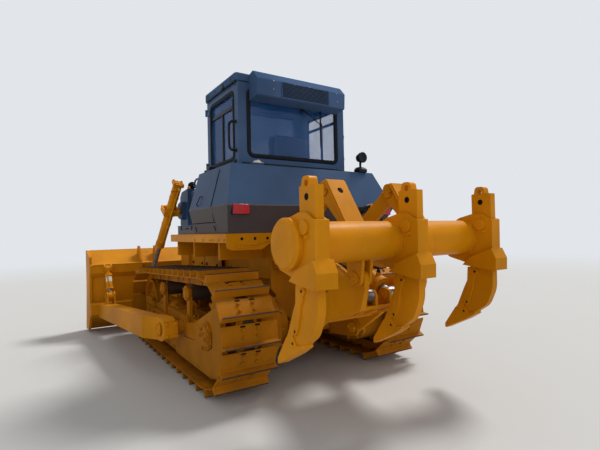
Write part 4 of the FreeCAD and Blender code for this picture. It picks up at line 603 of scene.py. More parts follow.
def pipe(points: Sequence[Point], radius: float, sides: int = 10, up: Point = (0, 0, 1), bent: bool = True) -> Surface:
    """A round bar or hose through points, in a smooth curve or in straight runs."""
    path = smooth_path(points) if bent else np.array(points, float)
    return carried(path, circle(radius, sides), up)


def frames(ways: Array) -> Array:
    """Turn each way, taken as local Z, into a right-handed frame whose columns are its X, Y and Z."""
    z = unit(np.atleast_2d(np.array(ways, float)))
    guide = np.where(np.abs(z[:, 2:]) > 0.9, [[1.0, 0.0, 0.0]], [[0.0, 0.0, 1.0]])
    x = unit(np.cross(guide, z))
    return np.stack([x, np.cross(z, x), z], -1)


def spun(profile: Sequence[Point], centre: Point = (0, 0, 0), way: Point = (0, 0, 1), sides: int = 24) -> Surface:
    """Turn a profile about an axis: the ring of row (h, r) is centre + h way + r (cos a X + sin a Y)."""
    frame = frames(np.array(way, float))[0]
    rows = np.array(profile, float)
    ring = circle(1.0, sides)
    heights = np.broadcast_to(rows[:, None, :1], (len(rows), sides, 1))
    local = np.concatenate([rows[:, None, 1:] * ring[None], heights], -1)
    return skin(local @ frame.T + np.array(centre, float))


def collar(span: Point, bore: float, radius: float, centre: Point, way: Point, sides: int = 32) -> Surface:
    """A ring round an axis: heights span, bore and radius, open in the middle."""
    rows = np.array([(span[0], bore), (span[0], radius), (span[1], radius), (span[1], bore)], float)
    frame = frames(np.array(way, float))[0]
    local = np.concatenate([rows[:, None, 1:] * circle(1.0, sides)[None],
                            np.broadcast_to(rows[:, None, :1], (4, sides, 1))], -1)
    i, k = np.mgrid[0:4, 0:sides]
    j, m = (i + 1) % 4 * sides, (k + 1) % sides
    quads = np.stack([i * sides + k, i * sides + m, j + m, j + k], -1).reshape(-1, 4)
    points = local.reshape(-1, 3) @ frame.T + np.array(centre, float)
    return Surface(points, quads.ravel(), np.full(len(quads), 4)).outward()


def rounded(rows: Sequence[Point], step: float = 15.0) -> Array:
    """An outline with round corners.

    Args:
        rows: u, v and, where a corner is round, its radius r. The arc's centre is r / sin(half angle) from the corner.
        step: degrees of arc between points.

    Returns:
        The outline's points.
    """
    corner = np.array([r[:2] for r in rows], float)
    before, after = unit(np.roll(corner, 1, 0) - corner), unit(np.roll(corner, -1, 0) - corner)
    points = []
    for row, c, a, b in zip(rows, corner, before, after):
        if len(row) < 3 or not row[2]:
            points.append(c[None])
            continue
        half = math.acos(max(-1.0, min(1.0, float(a @ b)))) / 2
        middle = c + unit(a + b) * row[2] / math.sin(half)
        start, end = c + a * row[2] / math.tan(half) - middle, c + b * row[2] / math.tan(half) - middle
        turn = math.pi - 2 * half
        t = np.linspace(0, 1, max(2, int(math.degrees(turn) / step) + 1))[:, None]
        points.append(middle + (start * np.sin((1 - t) * turn) + end * np.sin(t * turn)) / math.sin(turn))
    return np.concatenate(points)


def inset(outline: Array, depth: float) -> Array:
    """Draw an outline in: each corner moves along the sum of its edges' normals over 1 + their dot product."""
    edge = unit(np.roll(outline, -1, 0) - outline)
    area = np.sum(outline[:, 0] * np.roll(outline[:, 1], -1) - outline[:, 1] * np.roll(outline[:, 0], -1))
    normal = np.stack([-edge[:, 1], edge[:, 0]], -1) * np.sign(area)
    before = np.roll(normal, 1, 0)
    share = 1 + np.einsum("ij,ij->i", normal, before)
    return outline + depth * (normal + before) / np.maximum(share, 0.4)[:, None]


def rectangle(u: Point, v: Point, radius: float = 0.0) -> list[Point]:
    """A rectangle's corners between pairs of places, as rounded takes them."""
    return [(u[0], v[0], radius), (u[1], v[0], radius), (u[1], v[1], radius), (u[0], v[1], radius)]


def bar(wide: float, thick: float) -> Array:
    """A flat section's corners, so far either way from its middle."""
    return np.array([(-wide, -thick), (wide, -thick), (wide, thick), (-wide, thick)])


def plate(axis: Axis, span: tuple[float, float], rows: Sequence[Point], bevel: float = 0.0) -> Surface:
    """A plate whose outline is carried along an axis, with its rims chamfered.

    Args:
        axis: the axis; the rows give the other two coordinates in the order that the axis names.
        span: where the plate begins and ends on the axis.
        rows: the outline, as rounded takes it.
        bevel: the chamfer's width.

    Returns:
        The closed plate.
    """
    outline = rounded(rows) if not isinstance(rows, np.ndarray) else rows
    low, high = sorted(span)
    levels = [(low, 0.0), (high, 0.0)]
    if bevel:
        levels = [(low, bevel), (low + bevel, 0.0), (high - bevel, 0.0), (high, bevel)]
    rings = np.empty((len(levels), len(outline), 3))
    for ring, (level, depth) in zip(rings, levels):
        ring[:, list(axis.value[:2])] = inset(outline, depth) if depth else outline
        ring[:, axis.value[2]] = level
    return skin(rings)


def block(x: Point, y: Point, z: Point, bevel: float = 0.003) -> Surface:
    """A box between pairs of places along each axis, with its edges along Z rounded and its rims chamfered."""
    return plate(Axis.Z, (z[0], z[1]), rectangle(x, y, 1.5 * bevel), bevel)


def scattered(template: Surface, places: Array, ways: Array) -> Surface:
    """Copy a small surface, drawn about the origin with Z outward, to many places: point = place + frame point."""
    places = np.atleast_2d(np.array(places, float))
    frame = frames(np.broadcast_to(np.array(ways, float), places.shape))
    points = np.einsum("kij,nj->kni", frame, template.points) + places[:, None]
    count, size = len(places), len(template.points)
    corners = (template.corners[None] + (np.arange(count) * size)[:, None]).ravel()
    return Surface(points.reshape(-1, 3), corners, np.tile(template.sizes, count))


def bolt(size: float, tall: float = 0.65, washer: bool = True) -> Surface:
    """A hexagon head as wide as size across its corners, on a washer."""
    head = spun([(0.0, size / 2), (size * tall * 0.85, size / 2), (size * tall, size * 0.40)], sides=6)
    if not washer:
        return head
    return head.moved(z=size * 0.12) + spun([(0.0, size * 0.62), (size * 0.12, size * 0.62)], sides=12)


def row_of(start: Point, end: Point, count: int) -> Array:
    """Evenly spaced places from one point to another."""
    t = np.linspace(0, 1, count)[:, None]
    return np.array(start, float) * (1 - t) + np.array(end, float) * t


def resampled(points: Sequence[Point], step: float) -> Array:
    """Points every so far along straight runs."""
    p = np.array(points, float)
    along = np.concatenate([[0.0], np.cumsum(np.linalg.norm(np.diff(p, axis=0), axis=1))])
    s = np.linspace(0, along[-1], max(2, int(along[-1] / step)))
    return np.stack([np.interp(s, along, p[:, i]) for i in range(3)], -1)


def weld(points: Sequence[Point], radius: float = 0.007, up: Point = (0, 0, 1)) -> Surface:
    """A weld bead along straight runs: its radius at distance s is r (1 + 0.16 sin(2 pi s / 12 mm))."""
    path = resampled(points, 0.004)
    swell = 1 + 0.16 * np.sin(2 * np.pi * np.arange(len(path)) / 3)
    return carried(path, circle(radius, 6), up, swell=swell)


def seal(axis: Axis, level: float, rows: Sequence[Point], section: Array) -> Surface:
    """A strip round an outline that lies across an axis: u points out from the outline, v along the axis."""
    outline = rounded(rows, 10.0)
    area = np.sum(outline[:, 0] * np.roll(outline[:, 1], -1) - outline[:, 1] * np.roll(outline[:, 0], -1))
    outline = outline if area > 0 else outline[::-1]
    path = np.empty((len(outline), 3))
    path[:, list(axis.value[:2])] = outline
    path[:, axis.value[2]] = level
    up = np.eye(3)[axis.value[2]]
    out = np.cross(np.append(unit(outline[1] - outline[0]), 0.0), (0, 0, 1))[:2]
    way = np.zeros(3)
    way[list(axis.value[:2])] = unit(outline[1] - outline[0])
    sign = 1.0 if np.cross(up, way)[list(axis.value[:2])] @ out > 0 else -1.0
    return carried(path, section * (sign, 1.0), up, looped=True)


def line(points: Sequence[Point], radius: float, up: Point = (0, 0, 1), nut: float = 1.9) -> Surface:
    """A formed hydraulic line: a pipe in a smooth curve with a union nut and a collar at each end."""
    path = smooth_path(points)
    ends = np.array([path[0], path[-1]])
    ways = unit(np.array([path[1] - path[0], path[-2] - path[-1]]))
    collar = spun([(0.0, radius * 1.3), (radius * 5.0, radius * 1.3), (radius * 5.4, radius)], sides=12)
    hexagon = spun([(0.0, radius * nut), (radius * 2.2, radius * nut), (radius * 2.4, radius * nut * 0.85)],
                   sides=6)
    return merged([carried(path, circle(radius, 10), up), scattered(collar, ends, ways), scattered(hexagon, ends, ways)])


def ring_of(centre: Point, radius: float, count: int, axis: Axis, start: float = 0.0) -> Array:
    """Places evenly round a circle that lies across an axis, from an angle in degrees."""
    spots = np.tile(np.array(centre, float), (count, 1))
    a = np.radians(start) + np.arange(count) * 2 * np.pi / count
    spots[:, list(axis.value[:2])] += radius * np.stack([np.cos(a), np.sin(a)], -1)
    return spots


def facing(rows: Sequence[Point], axis: Axis, level: float) -> Array:
    """Places across an axis at one level."""
    flat = np.array([r[:2] for r in rows], float)
    spots = np.full((len(flat), 3), float(level))
    spots[:, list(axis.value[:2])] = flat
    return spots


@dataclass
class Piece:
    """One object in the making: its surfaces, each with its finish."""

    name: str
    body: str
    parts: list[tuple[Surface, Finish]] = field(default_factory=list)

    def add(self, finish: Finish, *surfaces: Surface) -> "Piece":
        """Add surfaces that take one finish."""
        self.parts.append((merged(surfaces), finish))
        return self

    def build(self, sharp: float = 32.0, stands_for: Sequence[str] = ()) -> bpy.types.Object:
        """Make the object, let it ride on its body, and hide the nodes that it stands for.

        Args:
            sharp: the angle in degrees past which an edge shows as a crease.
            stands_for: the model's nodes that this piece replaces.

        Returns:
            The object.
        """
        whole = merged(s for s, _ in self.parts)
        finishes = list(dict.fromkeys(f for _, f in self.parts))
        index = np.concatenate([np.full(len(s.sizes), finishes.index(f)) for s, f in self.parts])
        mesh = bpy.data.meshes.new(self.name)
        mesh.vertices.add(len(whole.points))
        mesh.vertices.foreach_set("co", whole.points.astype(np.float32).ravel())
        mesh.loops.add(len(whole.corners))
        mesh.loops.foreach_set("vertex_index", whole.corners.astype(np.int32))
        mesh.polygons.add(len(whole.sizes))
        mesh.polygons.foreach_set("loop_start", (np.cumsum(whole.sizes) - whole.sizes).astype(np.int32))
        mesh.polygons.foreach_set("loop_total", whole.sizes.astype(np.int32))
        mesh.polygons.foreach_set("material_index", index.astype(np.int32))
        mesh.polygons.foreach_set("use_smooth", np.ones(len(whole.sizes), bool))
        for finish in finishes:
            mesh.materials.append(finish.material())
        mesh.update(calc_edges=True)
        mesh.set_sharp_from_angle(angle=math.radians(sharp))
        made = bpy.data.objects.new(self.name, mesh)
        bpy.context.scene.collection.objects.link(made)
        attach(made, self.body)
        if stands_for:
            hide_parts(*stands_for)
        LOG.info("%s: %d faces on %s", self.name, len(whole.sizes), self.body)
        return made


class Assembly:
    """A sub-assembly: make() builds its pieces."""

    def make(self) -> None:
        """Build and dress the pieces."""
        raise NotImplementedError


@dataclass
class Track(Assembly):
    """One track: shoes with their grousers, bolts and relief notches, on a chain of links, pins and bushings."""

    side: Side
    gauge: float = 2.0
    shoe_width: float = 0.56
    shoes: int = 38
    sprocket_x: float = -1.130
    wheel_base: float = 2.730
    sprocket_pins: float = 0.468
    idler_pins: float = 0.406
    grouser_reach: float = 0.140
    phase: float = 0.198
    shoe_in: float = 0.054
    shoe_out: float = 0.068
    rail_inset: float = 0.046
    rail_inner: float = 0.052
    rail_thick: float = 0.042

    def __post_init__(self) -> None:
        """Work out the chain's drop and pitch: two runs, two arcs, and the arc that the sizes' difference moves."""
        step = self.sprocket_pins - self.idler_pins
        self.drop = 2 * math.atan2(step, self.wheel_base)
        total = 2 * self.wheel_base + math.pi * (self.sprocket_pins + self.idler_pins) + self.drop * step
        self.pitch = total / self.shoes
        self.total = total

    def on_chain(self, s: Array) -> Array:
        """Points at distances along the pins' line: bottom run, idler's arc, top run, sprocket's arc."""
        rs, ri, base, drop = self.sprocket_pins, self.idler_pins, self.wheel_base, self.drop
        s = np.mod(s, self.total)
        first, second = base, base + ri * (math.pi - drop)
        third = second + base
        sprocket = np.array([self.sprocket_x, self.grouser_reach + rs])
        idler = np.array([self.sprocket_x + base, self.grouser_reach + ri])
        bottom = np.stack([self.sprocket_x + s, np.full_like(s, self.grouser_reach)], -1)
        a = (s - first) / ri
        front = idler + ri * np.stack([np.sin(a), -np.cos(a)], -1)
        back = (s - second)[..., None] * np.array([-math.cos(drop), math.sin(drop)])
        top = idler + ri * np.array([math.sin(drop), math.cos(drop)]) + back
        b = math.pi - drop + (s - third) / rs
        rear = sprocket + rs * np.stack([np.sin(b), -np.cos(b)], -1)
        pick = [(s < first)[..., None], (s < second)[..., None], (s < third)[..., None]]
        return np.select(pick, [bottom, front, top], rear)

    def runs(self, k: Array) -> tuple[Array, Array, Array]:
        """For links by number: the first pin, the run from it to the next pin, and the way out."""
        a, b = self.on_chain(self.phase + k * self.pitch), self.on_chain(self.phase + (k + 1) * self.pitch)
        chord = b - a
        return a, chord, unit(np.stack([chord[:, 1], -chord[:, 0]], -1))

    def along(self, section: Array, span: tuple[float, float], bevel: float, every: int = 1,
              first: int = 0) -> Surface:
        """Carry one link's section round the chain.

        Args:
            section: rows of u, as a share of the pitch, and w, the distance out from the pins.
            span: the piece's width in Y, from the track's middle.
            bevel: the chamfer at its two ends.
            every: how many links apart the copies are.
            first: the first link.

        Returns:
            All the copies, as points a + T u L + N w between neighbouring pins a and b.
        """
        k = np.arange(first, self.shoes, every)
        a, chord, out = self.runs(k)
        middle = self.side.value * self.gauge / 2
        low, high = sorted(span)
        levels = [(low, bevel), (low + bevel, 0.0), (high - bevel, 0.0), (high, bevel)]
        scaled = section * (self.pitch, 1.0)
        rings = np.empty((len(k), len(levels), len(section), 3))
        for i, (level, depth) in enumerate(levels):
            local = inset(scaled, depth) if depth else scaled
            flat = a[:, None] + local[None, :, :1] * chord[:, None] / self.pitch + out[:, None] * local[None, :, 1:]
            rings[:, i, :, 0], rings[:, i, :, 2] = flat[..., 0], flat[..., 1]
            rings[:, i, :, 1] = middle + level
        return merged([skin(ring) for ring in rings])

    def spots(self, u: float, w: float, y: float) -> tuple[Array, Array]:
        """The place at a share u of each link, w out from the pins and y from the middle, and the way out there."""
        a, chord, out = self.runs(np.arange(self.shoes))
        flat = a + chord * u + out * w
        place = np.stack([flat[:, 0], np.full(self.shoes, self.side.value * self.gauge / 2 + y), flat[:, 1]], -1)
        return place, np.stack([out[:, 0], np.zeros(self.shoes), out[:, 1]], -1)

    def shoe_plates(self) -> tuple[Surface, Surface]:
        """The shoes with their grousers, and the worn tips of the grousers."""
        p = self.pitch
        lip, out, tip = self.shoe_in, self.shoe_out, self.grouser_reach
        rows = [(0.004, lip + 0.002), (0.004, lip + 0.008), (0.016, out), (p - 0.046, out), (p - 0.036, out + 0.008),
                (p - 0.028, tip - 0.008), (p - 0.012, tip - 0.008), (p - 0.008, out + 0.006), (p - 0.003, lip + 0.004),
                (p - 0.003, lip + 0.001)]
        crest = [(p - 0.0278, tip - 0.009), (p - 0.0262, tip - 0.001), (p - 0.0245, tip), (p - 0.0155, tip),
                 (p - 0.0138, tip - 0.001), (p - 0.0122, tip - 0.009)]
        half = self.shoe_width / 2
        scale = np.array([1 / p, 1.0])
        return (self.along(np.array(rows) * scale, (-half, half), 0.003),
                self.along(np.array(crest) * scale, (-half + 0.001, half - 0.001), 0.002))

    def links(self) -> Surface:
        """The chain's links: each a plate waisted between its two pins, those of a pair one pitch long."""
        inner, inset_, high = self.rail_inner, self.rail_inset, self.shoe_in
        rows = np.array([(0.06, -inset_), (0.30, -inset_), (0.50, -inset_ + 0.003), (0.70, -inset_), (0.94, -inset_),
                         (1.08, -0.030), (1.12, 0.0), (1.06, 0.030), (0.90, 0.038), (0.84, high - 0.001),
                         (0.16, high - 0.001), (0.10, 0.036), (-0.02, 0.034), (-0.12, 0.0), (-0.06, -0.030)])
        plates = []
        for rail in (-1, 1):
            for first, shift in ((0, 0.0), (1, 0.020)):
                low = inner + shift * 0.5
                plates.append(self.along(rows, (rail * low, rail * (low + self.rail_thick - 0.012)), 0.003,
                                         every=2, first=first))
        return merged(plates)

    def pins(self) -> tuple[Surface, Surface]:
        """The ends of the pins outside the links, and the bushings between them."""
        outer = self.rail_inner + self.rail_thick
        middle = self.side.value * self.gauge / 2
        place, _ = self.spots(0.0, 0.0, 0.0)
        place = place - (0, middle, 0)
        end = spun([(-outer - 0.006, 0.014), (-outer - 0.004, 0.021), (outer + 0.004, 0.021), (outer + 0.006, 0.014)],
                   sides=10)
        bush = spun([(-self.rail_inner - 0.004, 0.033), (self.rail_inner + 0.004, 0.033)], sides=14)
        way = np.array([0.0, 1.0, 0.0])
        return scattered(end, place, way).moved(y=middle), scattered(bush, place, way).moved(y=middle)

    def make(self) -> None:
        """Build the track in place of its node."""
        piece = Piece(f"track_{self.side.word}_shoes", "tractor")
        shoes, crests = self.shoe_plates()
        ends, bushings = self.pins()
        piece.add(YELLOW_SHOE, shoes).add(TREAD, crests, bushings).add(YELLOW_SHOE, self.links(), ends)
        nut = bolt(0.030, 0.5)
        reach = self.rail_inner + self.rail_thick / 2
        bolts = [scattered(nut, *self.spots(u, self.shoe_out, y)) for u in (0.24, 0.56) for y in (-reach, reach)]
        piece.add(YELLOW_SHOE, *bolts)
        notch = plate(Axis.Z, (0.0, 0.0012), rectangle((-0.026, 0.026), (-0.008, 0.008), 0.004))
        notches = [scattered(notch, *self.spots(0.10, self.shoe_out - 0.0002, y)) for y in (-reach, reach)]
        piece.add(DARK, *notches)
        piece.build(stands_for=[f"track_{self.side.word}"])


@dataclass
class Dressing(Assembly):
    """The finishes of the model's own nodes, by name."""

    finishes: dict[str, Finish] = field(default_factory=lambda: {
        "main_frame": YELLOW_CAST, "equalizer_bar": YELLOW_CAST, "engine_block": YELLOW_CAST,
        "track_frame_left": YELLOW_CAST, "track_frame_right": YELLOW_CAST, "sprockets": YELLOW_CAST,
        "idlers": YELLOW_CAST, "track_rollers": TREAD, "final_drives": YELLOW_CAST, "fenders": YELLOW,
        "fuel_tank": SLATE_TANK_GROUND_REFLECTION, "consoles": SLATE_TANK_GROUND_REFLECTION, "cab_shell": SLATE, "cab_roof": SLATE_TOP, "cab_glass": GLASS,
        "air_conditioner": SLATE_TOP, "seat": CLOTH, "control_console": PLASTIC, "hood": HOOD,
        "radiator_guard": HOOD, "grille": BLACK, "radiator_core": DARK, "exhaust": SOOTY, "pre_cleaner": BLACK,
        "work_lamp": BLACK, "ripper_mount": YELLOW_CAST, "blade": YELLOW_BLADE, "push_arms": YELLOW_BLADE,
        "brace_left": YELLOW, "brace_right": YELLOW, "lift_yoke_left": YELLOW, "lift_yoke_right": YELLOW,
        "lift_barrel_left": YELLOW, "lift_barrel_right": YELLOW, "lift_rod_left": PAPERED, "lift_rod_right": PAPERED,
        "door_left": SLATE, "door_right": SLATE, "door_glass_left": GLASS, "door_glass_right": GLASS,
        "ripper_arm": YELLOW, "ripper_links": YELLOW, "ripper_beam": YELLOW, "ripper_shanks": YELLOW,
        "ripper_barrels": YELLOW, "ripper_rods": CHROME,
    })
    nodes: dict[str, bpy.types.Object] = field(default_factory=dict)

    def make(self) -> None:
        """Give each node its one material."""
        for name, finish in self.finishes.items():
            mesh = self.nodes[name].data
            mesh.materials.clear()
            mesh.materials.append(finish.material())
        LOG.info("dressed %d nodes", len(self.finishes))


@dataclass
class TrackFrame(Assembly):
    """What is bolted and welded to one track frame: casing cap, bearing, carrier clamps, guards and recoil cover."""

    side: Side
    middle: float = 1.0
    axle: tuple[float, float] = (-1.130, 0.608)
    cap_face: float = 1.224
    bearing_face: float = 1.234
    casing_face: float = 1.212
    guard_face: float = 1.178
    frame_top: float = 0.620
    carriers: tuple[tuple[float, float], ...] = ((-0.3558, 0.9029), (0.6432, 0.8575))
    rollers: tuple[float, ...] = (-0.630, -0.280, 0.070, 0.420, 0.770, 1.120)

    def casing(self) -> tuple[list[Surface], list[Surface]]:
        """Bolts on the casing's cap and bearing, the bearing's cover and plug, a weld bead, its seam and the joint
        round the cap.
        """
        x, z = self.axle
        corners = [(0.138, 0.012), (-0.004, 0.028), (-0.095, 0.004), (-0.088, -0.108), (0.0, -0.152), (0.104, -0.168),
                   (0.168, -0.052)]
        head = bolt(0.030)
        cap = scattered(head, facing([(x + u, z + v) for u, v in corners], Axis.Y, self.cap_face), (0, 1, 0))
        ring = scattered(bolt(0.022), ring_of((x, self.bearing_face, z), 0.082, 8, Axis.Y, 22.5), (0, 1, 0))
        cover = spun([(0.0, 0.058), (0.010, 0.056), (0.016, 0.044), (0.018, 0.020)], (x, self.bearing_face, z),
                     (0, 1, 0), 28)
        plug = scattered(bolt(0.020, washer=False), [(x, self.bearing_face + 0.018, z)], (0, 1, 0))
        y = self.casing_face
        edge = weld([(-1.37, y, 0.246), (-1.20, y, 0.196), (-0.085, y, 0.196)], 0.006, (0, 1, 0))
        seam = plate(Axis.Y, (y - 0.001, y + 0.0012),
                     [(-0.081, 0.403), (-0.081, 0.409), (-0.733, 0.457), (-0.733, 0.451)])
        rim = [(x + u, z + v, 0.03) for u, v in ((0.164, 0.022), (-0.011, 0.053), (-0.118, 0.014), (-0.111, -0.123),
                                                 (0.001, -0.177), (0.116, -0.193), (0.197, -0.046))]
        gap = seal(Axis.Y, y + 0.001, rim, circle(0.0035, 6))
        return [cap, ring, cover, plug, edge], [seam, gap]

    def carrier_brackets(self) -> list[Surface]:
        """On each carrier post a split clamp with its bolts, a shaft cap, and a foot bolted to the frame."""
        made = []
        for x, z in self.carriers:
            clamp = [(x - 0.052, z - 0.060), (x + 0.052, z - 0.060), (x + 0.058, z + 0.058, 0.055),
                     (x - 0.058, z + 0.058, 0.055)]
            made.append(plate(Axis.Y, (1.1505, 1.176), clamp, 0.003))
            hub = [(0.0, 0.086), (0.026, 0.086), (0.034, 0.079), (0.034, 0.054), (0.044, 0.050), (0.047, 0.026)]
            made.append(spun(hub, (x, 1.150, z), (0, 1, 0), 32))
            made.append(scattered(bolt(0.018), ring_of((x, 1.184, z), 0.067, 4, Axis.Y, 45.0), (0, 1, 0)))
            made.append(block((x - 0.066, x - 0.050), (1.122, 1.170), (z - 0.018, z + 0.034)))
            made.append(scattered(bolt(0.022), [(x - 0.058, 1.134, z + 0.034), (x - 0.058, 1.158, z + 0.034)],
                                  (0, 0, 1)))
            made.append(block((x - 0.090, x + 0.090), (1.035, 1.128), (self.frame_top, self.frame_top + 0.018)))
            feet = [(x + u, v, self.frame_top + 0.018) for u in (-0.070, 0.070) for v in (1.060, 1.104)]
            made.append(scattered(bolt(0.028), feet, (0, 0, 1)))
            low = self.frame_top + 0.01
            made.append(plate(Axis.X, (x - 0.006, x + 0.006),
                              [(1.060, low), (1.119, low), (1.119, z - 0.09), (1.104, z - 0.09)]))
            made.append(weld([(x - 0.055, 1.152, 0.50), (x - 0.055, 1.152, z - 0.075)], 0.005, (0, 1, 0)))
        return made

    def guards(self) -> list[Surface]:
        """Two rows of bolts along the roller guard, pads over the roller shafts, and weld beads along the frame."""
        face = self.guard_face
        upper = row_of((-0.68, face, 0.500), (1.33, face, 0.500), 9)
        lower = facing([(x + d, 0.215) for x in self.rollers for d in (-0.045, 0.045)], Axis.Y, face + 0.007)
        made = [scattered(bolt(0.030), upper, (0, 1, 0)), scattered(bolt(0.024), lower, (0, 1, 0))]
        made += [plate(Axis.Y, (face - 0.002, face + 0.007), rectangle((x - 0.075, x + 0.075), (0.186, 0.246), 0.02),
                       0.002) for x in self.rollers]
        made.append(weld([(-0.60, 1.132, 0.535), (1.18, 1.132, 0.535)], 0.006))
        made.append(weld([(-0.42, face - 0.004, 0.172), (1.33, face - 0.004, 0.172)], 0.004))
        return made

    def recoil(self) -> list[Surface]:
        """The recoil cover's flange, its ring of bolts, the grease door and the yoke's wear strips."""
        made = [spun([(0.0, 0.118), (0.014, 0.118), (0.018, 0.112)], (0.612, self.middle, 0.600), (1, 0, 0), 32)]
        made.append(scattered(bolt(0.020), ring_of((0.630, self.middle, 0.600), 0.109, 7, Axis.X, -6.0)[:4], (1, 0, 0)))
        made.append(block((0.30, 0.46), (self.middle - 0.05, self.middle + 0.07), (self.frame_top, 0.634)))
        spots = [(u, v, 0.634) for u in (0.318, 0.442) for v in (0.968, 1.052)]
        made.append(scattered(bolt(0.020), spots, (0, 0, 1)))
        strip = [(1.36, 0.62), (1.66, 0.625), (1.66, 0.640), (1.36, 0.636)]
        made.append(plate(Axis.Y, (1.106, 1.144), strip, 0.002))
        made.append(scattered(bolt(0.022), [(u, 1.146, 0.53) for u in (1.40, 1.50, 1.60)], (0, 1, 0)))
        return made

    def make(self) -> None:
        """Build both groups of fittings."""
        solid, dark = self.casing()
        yellow = [*solid, *self.carrier_brackets(), *self.guards(), *self.recoil()]
        piece = Piece(f"track_frame_fittings_{self.side.word}", "tractor")
        piece.add(YELLOW_CAST, *(s.on(self.side) for s in yellow))
        piece.add(DARK, *(s.on(self.side) for s in dark)).build()


@dataclass
class Superstructure(Assembly):
    """Trim of fenders, tank, consoles and tool boxes: bolts, seams, latches, handles, filler and reflectors."""

    fender_top: float = 1.568
    fender_half: float = 1.040
    fender_rear: float = -1.225
    fender_front: float = 0.690
    crease: tuple[float, float] = (-1.392, 1.842)
    foot: tuple[float, float] = (-1.222, 1.568)
    half_crease: float = 1.092
    half_top: float = 0.950
    half_foot: float = 1.020
    tank_top: float = 2.285

    def reflector(self, side: Side) -> tuple[Surface, Surface]:
        """An upright reflector below the tank's crease, on a wedge that fills the gap to the sloping face."""
        lens = plate(Axis.X, (-1.3985, -1.3920), rectangle((0.861, 1.035), (1.757, 1.852), 0.006), 0.002)
        slope = [(-1.393, 1.854), (-1.393, 1.753), (-1.330, 1.753), (-1.386, 1.854)]
        wedge = plate(Axis.Y, (0.857, 1.039), slope, 0.002)
        return lens.on(side), wedge.on(side)

    def side_face(self, x: float, z: float) -> tuple[Array, Array]:
        """The place on the left console's side at x and z above its crease, and the way out there."""
        share = (z - self.crease[1]) / (self.tank_top - self.crease[1])
        if share >= 0:
            y = self.half_crease + (self.half_top - self.half_crease) * share
            way = np.array([0.0, self.tank_top - self.crease[1], self.half_crease - self.half_top])
        else:
            low = (z - self.foot[1]) / (self.crease[1] - self.foot[1])
            y = self.half_foot + (self.half_crease - self.half_foot) * low
            way = np.array([0.0, self.crease[1] - self.foot[1], self.half_foot - self.half_crease])
        return np.array([x, y, z]), unit(way)

    def latch(self, x: float, z: float, lean: float = 0.0, length: float = 0.13) -> Surface:
        """A bent-rod pull on the console's side."""
        place, out = self.side_face(x, z)
        along = unit(np.cross(out, (1, 0, 0)))
        along = along * math.copysign(1, along[2])
        tip = along * length / 2 + np.array([math.tan(math.radians(lean)) * length / 2, 0, 0])
        rows = [place - tip, place - tip * 0.9 + out * 0.020, place + tip * 0.9 + out * 0.020, place + tip]
        grip = carried(resampled(rows, 0.02), circle(0.0055, 8), (1, 0.2, 0.1))
        roses = scattered(spun([(0.0, 0.013), (0.003, 0.013), (0.004, 0.010)], sides=14),
                          [place - tip, place + tip], out)
        return merged([grip, roses])

    def seams(self) -> list[Surface]:
        """Dark joints of the console's access doors: one across below the crease, and two slots above the fender."""
        across = [self.side_face(x, 1.690) for x in (-0.985, -0.290)]
        upright = [self.side_face(x, z) for x, z in ((-0.910, 2.250), (-0.955, 1.857), (-0.955, 1.700))]
        made = [carried(np.array([a, b]), circle(radius, 6), out)
                for joint, radius in ((across, 0.0050), (upright, 0.0055)) for (a, out), (b, _) in zip(joint, joint[1:])]
        for x in (-0.930, -0.345):
            (low, out), (high, _) = self.side_face(x, 1.600), self.side_face(x, 1.655)
            made.append(carried(np.array([low + out * 0.001, high + out * 0.001]), circle(0.006, 8), out))
        return made

    def filler(self) -> tuple[list[Surface], list[Surface]]:
        """The tank's filler: a round cap with lugs and a padlock hasp on its raised square."""
        centre = (-1.119, 0.626, 2.307)
        cap = spun([(0.0, 0.044), (0.012, 0.044), (0.014, 0.040), (0.024, 0.040), (0.027, 0.036)], centre, (0, 0, 1), 28)
        bar = block((centre[0] - 0.036, centre[0] + 0.036), (centre[1] - 0.008, centre[1] + 0.008), (2.331, 2.342))
        hasp = block((centre[0] - 0.012, centre[0] + 0.012), (centre[1] - 0.070, centre[1] - 0.044), (2.307, 2.326))
        return [cap, bar], [hasp]

    def fender_trim(self) -> list[Surface]:
        """Flange bolts on the skirt, weld beads of the legs, and a rolled lip along the outer edge."""
        y = self.fender_half
        made = [scattered(bolt(0.018), [(x, y, 1.505) for x in (-0.867, -1.035, -1.185)], (0, 1, 0))]
        made.append(weld([(self.fender_rear + 0.02, y + 0.001, self.fender_top - 0.001),
                          (self.fender_front - 0.02, y + 0.001, self.fender_top - 0.001)], 0.004, (0, 1, 0)))
        made += [weld([(x + d, 0.56, 1.557), (x + d, 0.975, 1.557)], 0.006)
                 for x in (-0.900, -0.100, 0.560) for d in (-0.001, 0.031)]
        gusset = [(1.036, 1.480), (1.030, 1.420, 0.03), (0.975, 1.400, 0.03), (0.640, 1.400, 0.03), (0.530, 1.470, 0.02),
                  (0.530, 1.480)]
        made.append(plate(Axis.X, (self.fender_rear - 0.001, self.fender_rear + 0.013), gusset, 0.002))
        slot = rectangle((0.690, 0.955), (1.424, 1.450), 0.012)
        made.append(seal(Axis.X, self.fender_rear - 0.002, slot, circle(0.005, 8)))
        return made

    def band_holes(self) -> tuple[Surface, Surface]:
        """The rims of three holes in the band behind, and their dark mouths."""
        holes = [(self.fender_rear, v, 1.514) for v in (0.871, 0.724, 0.578)]
        rims = spun([(-0.002, 0.021), (0.002, 0.020), (0.002, 0.016)], sides=18)
        mouths = spun([(-0.001, 0.016), (0.0025, 0.016)], sides=18)
        return scattered(rims, holes, (-1, 0, 0)), scattered(mouths, holes, (-1, 0, 0))

